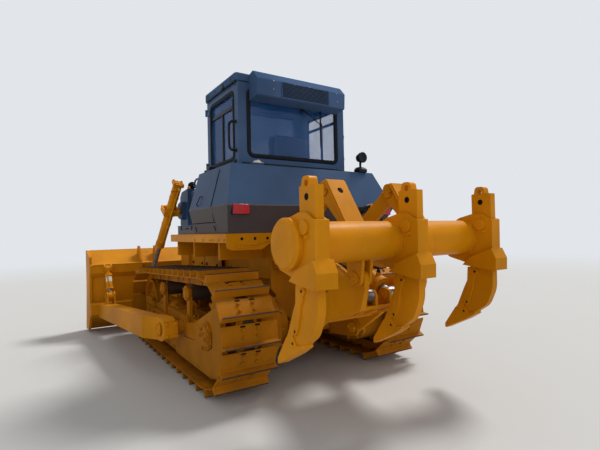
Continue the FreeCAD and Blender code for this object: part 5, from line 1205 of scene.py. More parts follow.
    def toolbox(self) -> tuple[list[Surface], list[Surface]]:
        """The tool box's lid, its hinges and over-centre latch."""
        lid = block((-0.266, 0.446), (0.765, 1.022), (1.6728, 1.682), 0.004)
        hinges = [pipe([(x, 0.770, 1.678), (x + 0.07, 0.770, 1.678)], 0.008, bent=False) for x in (-0.15, 0.26)]
        latch = [block((x, x + 0.030), (1.0155, 1.024), (1.625, 1.672), 0.002) for x in (-0.13, 0.28)]
        grip = pipe([(0.02, 1.016, 1.64), (0.02, 1.042, 1.64), (0.16, 1.042, 1.64), (0.16, 1.016, 1.64)], 0.006,
                    bent=False)
        return [lid, *hinges], [*latch, grip]

    def make(self) -> None:
        """Build the trim on both sides."""
        yellow = Piece("fender_trim", "tractor")
        panels = Piece("console_trim", "tractor")
        for side in Side:
            rims, mouths = self.band_holes()
            yellow.add(YELLOW, *(s.on(side) for s in (*self.fender_trim(), rims))).add(DARK, mouths.on(side))
            lens, frame = self.reflector(side)
            panels.add(RED_LENS, lens).add(SLATE_DARK, frame).add(DARK, *(s.on(side) for s in self.seams()))
            panels.add(BLACK, self.latch(-0.557, 1.935, -26.0, 0.105).on(side))
            lid, latches = self.toolbox()
            panels.add(SLATE, *(s.on(side) for s in lid)).add(BLACK, *(s.on(side) for s in latches))
        cap, hasp = self.filler()
        panels.add(WHITE, *cap).add(STEEL, *hasp)
        loop = [(-0.295, 0.950, 2.232), (-0.190, 0.966, 2.232), (-0.152, 0.972, 2.215), (-0.150, 0.984, 2.160),
                (-0.185, 0.984, 2.140), (-0.295, 0.968, 2.140)]
        for side in Side:
            panels.add(BLACK, pipe(loop, 0.011, bent=False, up=(0, 1, 0)).on(side))
            panels.add(BLACK, block((-0.430, -0.330), (0.80, 0.90), (2.285, 2.352), 0.006).on(side))
            panels.add(BLACK, block((-0.318, -0.290), (0.83, 0.91), (2.285, 2.325), 0.005).on(side))
        yellow.build()
        panels.build()


@dataclass
class Cab(Assembly):
    """Seals, wipers, handles, door bars, roof bolts, the air conditioner's grille, and a pale sheet behind the
    windscreen that is a painted reflection on the rear window.
    """

    half: float = 0.735
    rear: float = -0.900
    front: float = 0.030
    eaves: float = 3.255
    sill: float = 2.320
    window: tuple[float, float, float] = (0.610, 2.432, 3.170)
    screen: tuple[float, float, float] = (0.560, 2.440, 3.190)
    door_window: tuple[float, float, float, float] = (-0.780, -0.090, 2.400, 3.155)
    cooler_back: float = -1.1003

    @staticmethod
    def strip(wide: float, deep: float) -> Array:
        """A seal's section: a lip that laps the glass and the panel, with round shoulders."""
        return np.array([(-wide, -deep * 0.4), (wide, -deep * 0.4), (wide, deep * 0.35), (wide * 0.55, deep),
                         (-wide * 0.55, deep), (-wide, deep * 0.35)])

    def seals(self) -> list[Surface]:
        """Rubber round the rear window and the windscreen, outside and inside."""
        made = []
        for half, low, high, level, way in ((*self.window, self.rear, -1), (*self.screen, self.front, 1)):
            section = self.strip(0.024, 0.012) * (1, way)
            made.append(seal(Axis.X, level, rectangle((-half, half), (low, high), 0.06),
                             section if way > 0 else section[::-1]))
        return made

    def door_trim(self) -> list[Surface]:
        """The door glass's seal, its bars, the long grab handle, and the latch with its button."""
        x0, x1, z0, z1 = self.door_window
        y = self.half
        made = [seal(Axis.Y, y, rectangle((x0, x1), (z0, z1), 0.06), self.strip(0.023, 0.009))]
        made.append(block((x0, x1), (0.706, 0.730), (2.972, 3.006), 0.003))
        made.append(block((-0.457, -0.427), (0.706, 0.730), (z0, 2.975), 0.003))
        grip = [(-0.838, y, 2.806), (-0.832, y + 0.040, 2.808), (-0.808, y + 0.062, 2.790), (-0.796, y + 0.066, 2.745),
                (-0.796, y + 0.066, 2.560), (-0.808, y + 0.062, 2.510), (-0.830, y + 0.040, 2.490), (-0.838, y, 2.488)]
        made.append(pipe(grip, 0.014, 12, (1, 0.1, 0)))
        made.append(scattered(spun([(0.0, 0.024), (0.004, 0.024), (0.006, 0.018)], sides=16),
                              [grip[0], grip[-1]], (0, 1, 0)))
        made.append(block((-0.835, -0.775), (y, y + 0.014), (2.352, 2.392), 0.004))
        made.append(scattered(spun([(0.0, 0.013), (0.006, 0.012)], sides=16), [(-0.805, y + 0.014, 2.372)],
                              (0, 1, 0)))
        return made

    def hinge_pins(self) -> list[Surface]:
        """Caps on the hinges' pins."""
        cap = [(0.0, 0.009), (0.005, 0.009), (0.008, 0.005)]
        return [spun(cap, (self.front, self.half + 0.016, z), (0, 0, 1), 12) for z in (2.4605, 3.1455)]

    def wiper(self) -> list[Surface]:
        """The rear wiper: motor cap, two arms to its carrier, and the blade that hangs from them."""
        face = self.rear - 0.012
        made = [spun([(0.0, 0.026), (0.012, 0.024), (0.016, 0.014)], (face + 0.010, -0.10, 3.02), (-1, 0, 0), 18)]
        knee = (face - 0.022, -0.352, 2.872)
        for y, z in ((-0.075, 3.045), (-0.125, 3.025)):
            elbow = (face - 0.024, (y + knee[1]) / 2, (z + knee[2]) / 2)
            made.append(carried(np.array([(face - 0.004, y, z), elbow, knee]), bar(0.004, 0.003), (1, 0, 0)))
        made.append(block((face - 0.024, face - 0.012), (knee[1] - 0.009, knee[1] + 0.009), (2.600, 3.120), 0.003))
        made.append(block((face - 0.012, face - 0.002), (knee[1] - 0.003, knee[1] + 0.003), (2.605, 3.115), 0.001))
        made.append(block((face - 0.032, face - 0.016), (knee[1] - 0.018, knee[1] + 0.018), (2.850, 2.895), 0.004))
        front = self.front + 0.012
        made.append(spun([(0.0, 0.024), (0.012, 0.022), (0.016, 0.012)], (front - 0.010, 0.0, 3.205), (1, 0, 0), 18))
        made.append(carried(np.array([(front + 0.008, 0.0, 3.205), (front + 0.026, 0.16, 2.86)]),
                            bar(0.005, 0.003), (1, 0, 0)))
        made.append(block((front + 0.002, front + 0.028), (0.152, 0.170), (2.600, 3.100), 0.003))
        return made

    def roof(self) -> tuple[list[Surface], list[Surface]]:
        """Low bolts along the roof's edges, a raised panel on top and the gutter's strip below."""
        edge = [(x, side * 0.765, 3.285) for x in row_of((-0.78, 0, 0), (-0.08, 0, 0), 4)[:, 0] for side in (1, -1)]
        ways = [(0, np.sign(y), 0) for _, y, _ in edge]
        studs = scattered(spun([(0.0, 0.014), (0.004, 0.013), (0.007, 0.007)], sides=14),
                          np.array(edge) - np.array(ways) * 0.002, ways)
        panel = plate(Axis.Z, (3.3442, 3.3449), rectangle((-0.80, -0.06), (-0.62, 0.62), 0.05), 0.0003)
        lug = [(-0.58, 3.250), (-0.52, 3.250), (-0.528, 3.300, 0.01), (-0.572, 3.300, 0.01)]
        lugs = [plate(Axis.Y, (y - 0.006, y + 0.006), lug) for y in (0.768, -0.768)]
        rows = [(self.rear + 0.01, -0.747, 0.03), (self.front + 0.012, -0.747, 0.04), (self.front + 0.012, 0.747, 0.04),
                (self.rear + 0.01, 0.747, 0.03)]
        section = np.array([(-0.010, -0.006), (0.012, -0.006), (0.012, 0.006), (-0.010, 0.006)])
        gutter = seal(Axis.Z, 3.2475, rows, section)
        return [studs, panel], [gutter, *lugs]

    def cooler(self) -> tuple[list[Surface], list[Surface], list[Surface]]:
        """The air conditioner's ribbed intake, its cover screws, and the rubber under the cab's rear wall."""
        screws = [(-1.1085, y, z) for y, z in ((0.398, 3.232), (0.400, 3.138), (-0.466, 3.227), (-0.479, 3.132))]
        heads = scattered(spun([(-0.003, 0.009), (0.003, 0.008), (0.005, 0.005)], sides=14), screws, (-1, 0, 0))
        grille = plate(Axis.X, (-1.1065, -1.0990), [(-0.370, 3.066, 0.006), (0.300, 3.060, 0.006), (0.292, 3.247, 0.006),
                                                    (-0.352, 3.247, 0.006)], 0.002)
        ribs = [block((-1.1125, -1.1055), (-0.352, 0.286), (z, z + 0.0065), 0.0015)
                for z in np.linspace(3.076, 3.232, 12)]
        foot = block((self.rear - 0.010, self.rear + 0.001), (-0.700, 0.700), (2.312, 2.352), 0.003)
        return [grille], [heads], [*ribs, foot]

    def make(self) -> None:
        """Build the cab's trim; what is on a door rides on it."""
        for side in Side:
            trim = Piece(f"door_trim_{side.word}", f"cab_door_{side.word}")
            rubber, *black = (s.on(side) for s in self.door_trim())
            trim.add(RUBBER, rubber).add(BLACK, *black).build()
        shell = Piece("cab_trim", "tractor").add(RUBBER, *self.seals())
        shell.add(BLACK, *self.wiper(), *self.hinge_pins(), *(s.opposite() for s in self.hinge_pins()))
        slate, dark = self.roof()
        panel, heads, black = self.cooler()
        # Painted reflection: a pale blue sheet just behind the windscreen, seen through the rear window in place of its
        # reflection.
        film = block((-0.034, -0.031), (-0.535, 0.535), (2.465, 3.165), 0.001)
        shell.add(SLATE_DARK, *slate).add(SLATE_TOP, *panel).add(BLACK, *dark, *black).add(STEEL, *heads)
        shell.add(REFLECTION_SHEET, film).build()


def cushion(length: float, width: float, thick: float, crown: float = 0.22, channels: Sequence[float] = (),
            around: int = 48, rings: int = 44) -> tuple[Surface, Surface]:
    """A stuffed pad with its length along X, and the piping round its seam.

    Args:
        length, width, thick: its size.
        crown: how much thicker its middle is than its rim.
        channels: places of sewn channels across its length, as shares from -1 to 1.
        around: points round a ring.
        rings: rings along the pad.

    Returns:
        The pad and its piping. With s along the length and a round a ring, y = b sgn(cos a) |cos a|^0.45 and
        z = c sgn(sin a) |sin a|^0.7, where c = T/2 (1 - |s|^7)^0.45 (1 + crown (1 - s^2)(1 - (y/b)^2)), b draws in
        between the corners by 3%, and each channel takes 0.2 T exp(-((s - s0)/0.03)^2) off the top.
    """
    s = np.sin(np.linspace(-1, 1, rings) * np.pi / 2) * 0.9985
    a = np.arange(around) * 2 * np.pi / around
    cos, sin = np.cos(a), np.sin(a)
    y = np.sign(cos) * np.abs(cos) ** 0.45
    z = np.sign(sin) * np.abs(sin) ** 0.7
    rim = (1 - np.abs(s) ** 7) ** 0.45
    half = width / 2 * (1 - 0.03 * (1 - s ** 2)) * (1 - np.abs(s) ** 10) ** 0.12
    rise = 1 + crown * (1 - s[:, None] ** 2) * (1 - y[None] ** 2)
    points = np.empty((rings, around, 3))
    points[..., 0] = length / 2 * s[:, None] * (1 - 0.025 * (1 - y[None] ** 2))
    points[..., 1] = half[:, None] * y[None]
    points[..., 2] = thick / 2 * rim[:, None] * z[None] * rise
    for place in channels:
        groove = 0.20 * thick * np.exp(-((s[:, None] - place) / 0.03) ** 2)
        points[..., 2] -= groove * (z[None] > 0) * np.abs(z[None]) ** 2
    edge = np.concatenate([points[:, 0], points[::-1, around // 2]])
    return skin(points), carried(edge[::2], circle(0.0045, 6), (0, 0, 1), looped=True)


@dataclass
class Operator(Assembly):
    """The seat and the controls in the cab."""

    floor: float = 1.650
    base: tuple[float, float, float, float] = (-0.640, -0.240, -0.205, 0.205)
    pan_top: float = 1.950
    cushion_size: tuple[float, float, float] = (0.480, 0.500, 0.105)
    back_foot: tuple[float, float] = (-0.652, 2.060)
    back_head: tuple[float, float] = (-0.738, 2.740)

    def seat(self) -> None:
        """A suspension base under its bellows, two padded cushions with sewn channels, a shell and a head rest."""
        x0, x1, y0, y1 = self.base
        rails = [block((x0, x1), (y, y + 0.040), (self.floor + 0.001, self.floor + 0.030)) for y in (y0, y1 - 0.040)]
        folds = np.linspace(self.floor + 0.032, self.pan_top - 0.050, 15)
        bellows = []
        for k, z in enumerate(folds):
            d = 0.030 if k % 2 else 0.012
            bellows.append([(x0 + d, y0 + d, z), (x1 - d, y0 + d, z), (x1 - d, y1 - d, z), (x0 + d, y1 - d, z)])
        gaiter = skin(np.array(bellows))
        pan = block((x0 - 0.030, x1 + 0.030), (y0 - 0.030, y1 + 0.030), (self.pan_top - 0.048, self.pan_top), 0.008)
        knob = spun([(0.0, 0.022), (0.018, 0.022), (0.022, 0.018)], (x1 + 0.030, 0.0, self.pan_top - 0.024),
                    (1, 0, 0), 20)
        lean = math.degrees(math.atan2(self.back_foot[0] - self.back_head[0], self.back_head[1] - self.back_foot[1]))
        middle = [(self.back_foot[0] + self.back_head[0]) / 2, 0.0, (self.back_foot[1] + self.back_head[1]) / 2]
        shell = plate(Axis.Y, (-0.225, 0.225), [(-0.075, -0.33, 0.03), (-0.050, -0.33), (-0.046, 0.33, 0.02),
                                                (-0.070, 0.33, 0.03)], 0.012).turned((0, 1, 0), -lean).moved(*middle)
        arms = [pipe([(-0.700, y, 2.250), (-0.560, y, 2.275), (-0.400, y, 2.275), (-0.330, y, 2.262)], 0.024, 12,
                     (0, 1, 0)) for y in (-0.275, 0.275)]
        brackets = [pipe([(-0.705, y * 0.82, 2.245), (-0.700, y, 2.250)], 0.014, 10, bent=False)
                    for y in (-0.275, 0.275)]
        base = Piece("seat_base", "tractor").add(BLACK, *rails, pan, knob).add(RUBBER, gaiter)
        base.add(PLASTIC, shell, *arms).add(BLACK, *brackets).build(stands_for=["seat"])
        pad, piping = cushion(*self.cushion_size, channels=(-0.55, 0.0, 0.55))
        low = pad.moved(-0.430, 0.0, 2.008)
        made = Piece("seat_cushion", "tractor").add(CLOTH, low).add(RUBBER, piping.moved(-0.430, 0.0, 2.008)).build(
            60.0, ["seat"])
        pad, piping = cushion(0.660, 0.470, 0.100, channels=(-0.5, 0.0, 0.45))
        stand = 90.0 - lean
        upright = [s.turned((0, 1, 0), -stand).moved(*middle) for s in (pad, piping)]
        made = Piece("seat_back", "tractor").add(CLOTH, upright[0]).add(RUBBER, upright[1]).build(60.0, ["seat"])

    def controls(self) -> None:
        """The console's trim pad, its two levers in gaiters, switches, a gauge pod on the dash, pedals and a mat."""
        piece = Piece("controls", "tractor")
        top = 2.220
        piece.add(PLASTIC, block((-0.600, -0.140), (0.345, 0.585), (top, top + 0.016), 0.006))
        for x, y, tall in ((-0.240, 0.420, 0.17), (-0.330, 0.520, 0.13)):
            folds = [(0.016, 0.042), (0.026, 0.034), (0.034, 0.038), (0.044, 0.026), (0.052, 0.029), (0.064, 0.014)]
            piece.add(RUBBER, spun(folds, (x, y, top), (0, 0, 1), 20))
            piece.add(STEEL, pipe([(x, y, top + 0.05), (x + 0.01, y, top + tall * 0.6), (x + 0.02, y, top + tall)], 0.007, 8,
                                  (0, 1, 0)))
            grip = [(-0.035, 0.012), (-0.030, 0.019), (0.0, 0.023), (0.030, 0.021), (0.045, 0.012)]
            piece.add(BLACK, spun(grip, (x + 0.02, y, top + tall + 0.02), (0.1, 0, 1), 18))
        keys = [block((x, x + 0.026), (y, y + 0.018), (top + 0.015, top + 0.024), 0.002)
                for x in (-0.560, -0.520, -0.480, -0.440) for y in (0.380, 0.410)]
        piece.add(BLACK, *keys)
        pod = plate(Axis.Y, (-0.190, 0.190), [(-0.0201, 2.340), (0.150, 2.340, 0.03), (0.110, 2.420, 0.03),
                                              (0.030, 2.430, 0.02)], 0.006)
        dials = [(0.004, -0.110, 2.384), (0.004, 0.0, 2.386), (0.004, 0.110, 2.384)]
        face = spun([(0.0, 0.036), (0.005, 0.036), (0.006, 0.030), (0.002, 0.028)], sides=24)
        piece.add(PLASTIC, pod).add(STEEL, scattered(face, dials, (-0.88, 0, 0.47)))
        for y in (-0.150, 0.020, 0.190):
            piece.add(BLACK, pipe([(-0.04, y, 1.652), (0.02, y, 1.73), (0.03, y, 1.80)], 0.008, 8, (0, 1, 0)))
            piece.add(RUBBER, block((-0.055, -0.030), (y - 0.040, y + 0.040), (1.70, 1.80), 0.004)
                      .turned((0, 1, 0), 28, (-0.04, y, 1.75)).moved(x=0.045))
        piece.add(RUBBER, block((-0.20, -0.02), (-0.30, 0.28), (1.6505, 1.658), 0.003))
        piece.build()

    def make(self) -> None:
        """Build the seat and the controls."""
        self.seat()
        self.controls()


@dataclass
class Front(Assembly):
    """Hood, radiator guard, stack, pre-cleaner, work lamps."""

    hood_half: float = 0.520
    hood_top: float = 2.290
    guard_front: float = 1.810
    stack: tuple[float, float] = (0.980, 0.180)
    cleaner: tuple[float, float] = (0.640, -0.170)

    def hood_trim(self) -> tuple[list[Surface], list[Surface], list[Surface]]:
        """Side doors' seams, pressed louvres, quarter-turn latches and the hinges along the hood's edge."""
        y = self.hood_half
        seams = [seal(Axis.Y, y + 0.0005, rectangle(x, (1.06, 2.16), 0.03), circle(0.003, 6))
                 for x in ((0.25, 0.80), (0.83, 1.38))]
        louvre = plate(Axis.X, (-0.19, 0.19), [(0.0, -0.016), (0.013, -0.012, 0.004), (0.0, 0.016)], 0.003)
        louvres = [louvre.moved(x, y - 0.001, z) for x in (0.525, 1.105) for z in np.arange(1.52, 2.06, 0.045)]
        knob = spun([(0.0, 0.024), (0.006, 0.022), (0.008, 0.012), (0.016, 0.012), (0.018, 0.009)], sides=18)
        spots = [(x, y, z) for x in (0.33, 0.72, 0.91, 1.30) for z in (1.14, 2.10)]
        pulls = [scattered(knob, spots, (0, 1, 0))]
        hinges = [pipe([(x, y + 0.004, 2.192), (x + 0.09, y + 0.004, 2.192)], 0.009, 10, bent=False)
                  for x in (0.33, 0.63, 0.91, 1.21)]
        return seams, louvres, pulls + hinges

    def guard_trim(self) -> tuple[list[Surface], list[Surface]]:
        """Bolts round the guard's opening, lifting eyes, hinge knuckles of the grille, and the eyes' dark bores."""
        f = self.guard_front
        spots = [(f, s * 0.530, z) for s in (1, -1) for z in np.linspace(0.78, 2.04, 7)]
        spots += [(f, y, 0.685) for y in np.linspace(-0.42, 0.42, 5)]
        made = [scattered(bolt(0.028), np.array(spots), (1, 0, 0))]
        for s in (1, -1):
            y = s * 0.490
            eye = [(1.52, 2.26), (1.62, 2.26), (1.605, 2.345, 0.034), (1.535, 2.345, 0.034)]
            made.append(plate(Axis.Y, (y - 0.012, y + 0.012), eye, 0.002))
            made.append(weld([(1.52, y - 0.014, 2.288), (1.62, y - 0.014, 2.275)], 0.006))
        dark = [spun([(-0.0125, 0.016), (0.0125, 0.016)], (1.570, s * 0.490, 2.322), (0, 1, 0), 16) for s in (1, -1)]
        knuckles = [pipe([(f + 0.008, 0.512, z), (f + 0.008, 0.512, z + 0.07)], 0.011, 10, (1, 0, 0), False)
                    for z in (0.90, 1.86)]
        return made + knuckles, dark

    def lamp(self, place: Point, way: Point, radius: float) -> tuple[list[Surface], list[Surface]]:
        """A round work lamp on a bent bracket: finned bowl, bezel and lens."""
        x, y, z = place
        bowl = spun([(-0.060, radius * 0.45), (-0.050, radius * 0.62), (-0.020, radius * 0.95), (0.010, radius),
                     (0.018, radius * 0.98)], place, way, 28)
        fins = [spun([(h, radius * r), (h + 0.004, radius * r)], place, way, 28)
                for h, r in ((-0.052, 0.80), (-0.040, 0.90), (-0.028, 1.0))]
        foot = [block((x - 0.020, x + 0.020), (y - 0.018, y + 0.018), (z - radius - 0.050, z - radius + 0.004), 0.004)]
        lens = spun([(0.016, radius * 0.90), (0.022, radius * 0.86), (0.025, radius * 0.60), (0.026, radius * 0.2)],
                    place, way, 28)
        return [bowl, *fins, *foot], [lens]

    def stack_trim(self) -> tuple[list[Surface], list[Surface]]:
        """Bands and guard of the muffler, a clamp, and the flap over the stack; bands of the pre-cleaner."""
        x, y = self.stack
        t = self.hood_top
        shell = [spun([(z, 0.1215), (z + 0.022, 0.1215)], (x, y, t), (0, 0, 1), 40) for z in (0.030, 0.225)]
        dome = [spun([(0.2702, 0.120), (0.285, 0.112), (0.297, 0.085), (0.300, 0.066)], (x, y, t), (0, 0, 1), 40)]
        clamp = [spun([(0.345, 0.0665), (0.347, 0.068), (0.371, 0.068), (0.373, 0.0665)], (x, y, t), (0, 0, 1), 32),
                 block((x - 0.010, x + 0.010), (y + 0.064, y + 0.100), (t + 0.349, t + 0.369))]
        flap = spun([(0.0, 0.070), (0.005, 0.070), (0.007, 0.064)], (x - 0.005, y, t + 0.692), (-0.30, 0, 0.95), 32)
        arm = block((x - 0.090, x - 0.055), (y - 0.012, y + 0.012), (t + 0.640, t + 0.690), 0.003)
        slots = [block((x + 0.1195 * math.cos(a) - 0.004, x + 0.1195 * math.cos(a) + 0.004),
                       (y + 0.1195 * math.sin(a) - 0.004, y + 0.1195 * math.sin(a) + 0.004), (t + 0.075, t + 0.205), 0.001)
                 for a in np.linspace(0, 2 * np.pi, 18, endpoint=False)]
        cx, cy = self.cleaner
        bands = [spun([(z, 0.137), (z + 0.012, 0.137)], (cx, cy, t), (0, 0, 1), 40) for z in (0.236, 0.352)]
        stem = [spun([(0.000, 0.078), (0.014, 0.078), (0.018, 0.066)], (cx, cy, t), (0, 0, 1), 28),
                spun([(0.200, 0.066), (0.2295, 0.100)], (cx, cy, t), (0, 0, 1), 32)]
        knob = spun([(0.409, 0.020), (0.424, 0.018), (0.430, 0.010)], (cx, cy, t), (0, 0, 1), 16)
        return [*shell, *dome, *clamp, flap, arm, *slots], [*bands, *stem, knob]

    def make(self) -> None:
        """Build the front's trim."""
        seams, louvres, fittings = self.hood_trim()
        hood = Piece("hood_trim", "tractor")
        for side in Side:
            hood.add(DARK, *(s.on(side) for s in seams)).add(SLATE, *(s.on(side) for s in louvres))
            hood.add(BLACK, *(s.on(side) for s in fittings))
        hood.build()
        made, dark = self.guard_trim()
        sooty, black = self.stack_trim()
        front = Piece("front_trim", "tractor").add(YELLOW, *made).add(DARK, *dark).add(SOOTY, *sooty).add(BLACK, *black)
        for y in (-0.400, 0.400):
            bowl, lens = self.lamp((1.690, y, 2.372), (1, 0, 0), 0.062)
            front.add(BLACK, *bowl).add(CLEAR_LENS, *lens)
        rear = (-1.186, -0.790, 2.470)
        ring = spun([(-0.0005, 0.0655), (0.012, 0.0655), (0.014, 0.060), (0.012, 0.056)], rear, (-1, 0, 0), 32)
        lens = spun([(0.000, 0.0555), (0.006, 0.052), (0.009, 0.034), (0.010, 0.010)], rear, (-1, 0, 0), 32)
        front.add(BLACK, ring).add(CLEAR_LENS, lens)
        front.add(BLACK, block((-1.205, -1.095), (-0.850, -0.725), (2.285, 2.330), 0.006))
        front.add(STEEL, scattered(bolt(0.018), [(-1.185, -0.835, 2.330), (-1.110, -0.740, 2.330)], (0, 0, 1)))
        front.build()


@dataclass
class LiftCylinder(Assembly):
    """One lift cylinder's fittings: cap bolts, ports and pipe, gland bolts, yoke caps and the rod eye's pin and bolts.
    """

    side: Side
    head: tuple[float, float, float] = (1.630, 0.780, 1.950)
    eye: tuple[float, float, float] = (2.430, 0.965, 0.665)
    radius: float = 0.068
    above: float = 0.490
    below: float = 0.660

    def __post_init__(self) -> None:
        """Work out the cylinder's own axes: along it, outward and across."""
        self.way = unit(np.array(self.eye) - self.head)
        self.out = unit(np.cross(self.way, (1.0, 0.0, 0.0)))
        self.out = self.out * math.copysign(1.0, self.out[1])
        self.rear = np.cross(self.out, self.way) * math.copysign(1.0, -np.cross(self.out, self.way)[0])

    def at(self, along: float, out: float = 0.0, rear: float = 0.0) -> Array:
        """A place so far down the cylinder from its pivot, outward and rearward."""
        return np.array(self.head) + self.way * along + self.out * out + self.rear * rear

    def around(self, along: float, radius: float, count: int, start: float = 0.0) -> Array:
        """Places on a circle round the axis."""
        a = np.radians(start) + np.arange(count) * 2 * np.pi / count
        return self.at(along) + radius * (np.cos(a)[:, None] * self.out + np.sin(a)[:, None] * self.rear)

    def barrel(self) -> list[Surface]:
        """The cap's bolts and boss, port blocks, the pipe between them with its clips, and the gland's bolts."""
        r = self.radius
        made = [scattered(bolt(0.020), self.around(-self.above, r - 0.012, 8), -self.way)]
        made.append(spun([(0.0, 0.036), (0.010, 0.034), (0.014, 0.028)], self.at(-self.above), -self.way, 24))
        made.append(scattered(bolt(0.018), self.around(self.below + 0.012, r - 0.008, 8, 22.5), self.way))
        made.append(collar((0.0, 0.016), r - 0.004, r + 0.003, self.at(self.below - 0.088), self.way))
        head = rounded(rectangle((-0.082, 0.082), (-0.086, 0.080), 0.016))
        span = np.array([self.at(-self.above - 0.006), self.at(-self.above + 0.032)])
        made.append(carried(span, head, self.rear))
        corners = [self.at(-self.above - 0.006, u, v) for u in (-0.062, 0.062) for v in (-0.062, 0.062)]
        made.append(scattered(bolt(0.026), corners, -self.way))
        port = spun([(0.0, 0.028), (0.022, 0.028), (0.026, 0.022), (0.040, 0.022)], sides=16)
        places = [self.at(-self.above + 0.075, 0.0, r - 0.006), self.at(self.below - 0.110, 0.0, r - 0.006)]
        made.append(scattered(port, places, self.rear))
        tube = [self.at(-self.above + 0.050, 0.0, r + 0.012), self.at(-self.above + 0.062, 0.0, r + 0.060),
                self.at(-self.above + 0.120, 0.002, r + 0.076), self.at(-0.25, 0.004, r + 0.070),
                self.at(0.0, 0.006, r + 0.080), self.at(0.28, 0.004, r + 0.060),
                self.at(self.below - 0.160, 0.002, r + 0.050), places[1] + self.rear * 0.034]
        made.append(line(tube, 0.014, self.out))
        for s in (-0.24, 0.24):
            made.append(collar((-0.012, 0.012), r - 0.004, r + 0.004, self.at(s), self.way))
            made.append(carried(np.array([self.at(s, 0.0, r - 0.01), self.at(s, 0.0, r + 0.084)]),
                                bar(0.012, 0.012), self.out))
        spots = [self.at(-self.above + 0.030, u, r + 0.004) for u in (-0.030, 0.0, 0.030)]
        made.append(scattered(bolt(0.016), spots, self.rear))
        ring = self.around(-self.above + 0.052, r + 0.001, 24)
        made.append(weld([*ring, ring[0]], 0.004, self.way))
        elbow = [places[0] + self.rear * 0.030, self.at(-self.above + 0.070, 0.050, r + 0.052),
                 self.at(-self.above + 0.120, 0.085, r + 0.020)]
        made.append(line(elbow, 0.012, self.way))
        return made

    def yoke(self) -> list[Surface]:
        """Bearing caps and their bolts on the yoke."""
        made = []
        for sign in (1, -1):
            face = self.at(0.0, 0.0, sign * (self.radius + 0.042))
            made.append(spun([(0.0, 0.044), (0.009, 0.042), (0.013, 0.030)], face, self.rear * sign, 24))
            spots = [face + self.way * u + self.out * v for u in (-0.028, 0.028) for v in (-0.040, 0.040)]
            made.append(scattered(bolt(0.018), spots, self.rear * sign))
        return made

    def eye_trim(self) -> list[Surface]:
        """The rod eye's pin with two bolts at its outer end."""
        x, y, z = self.eye
        made = [spun([(-0.062, 0.034), (0.062, 0.034)], (x, y, z), (0, 1, 0), 24)]
        made.append(scattered(bolt(0.020), [(x + 0.016, y + 0.062, z), (x - 0.016, y + 0.062, z)], (0, 1, 0)))
        return made

    def make(self) -> None:
        """Build the fittings on barrel, yoke and rod."""
        word = self.side.word
        for kind, body, finish, made in (("barrel", "barrel", YELLOW, self.barrel()),
                                         ("yoke", "yoke", YELLOW, self.yoke()),
                                         ("eye", "rod", STEEL, self.eye_trim())):
            piece = Piece(f"lift_{kind}_fittings_{word}", f"lift_{body}_{word}")
            piece.add(finish, *(s.on(self.side) for s in made)).build()


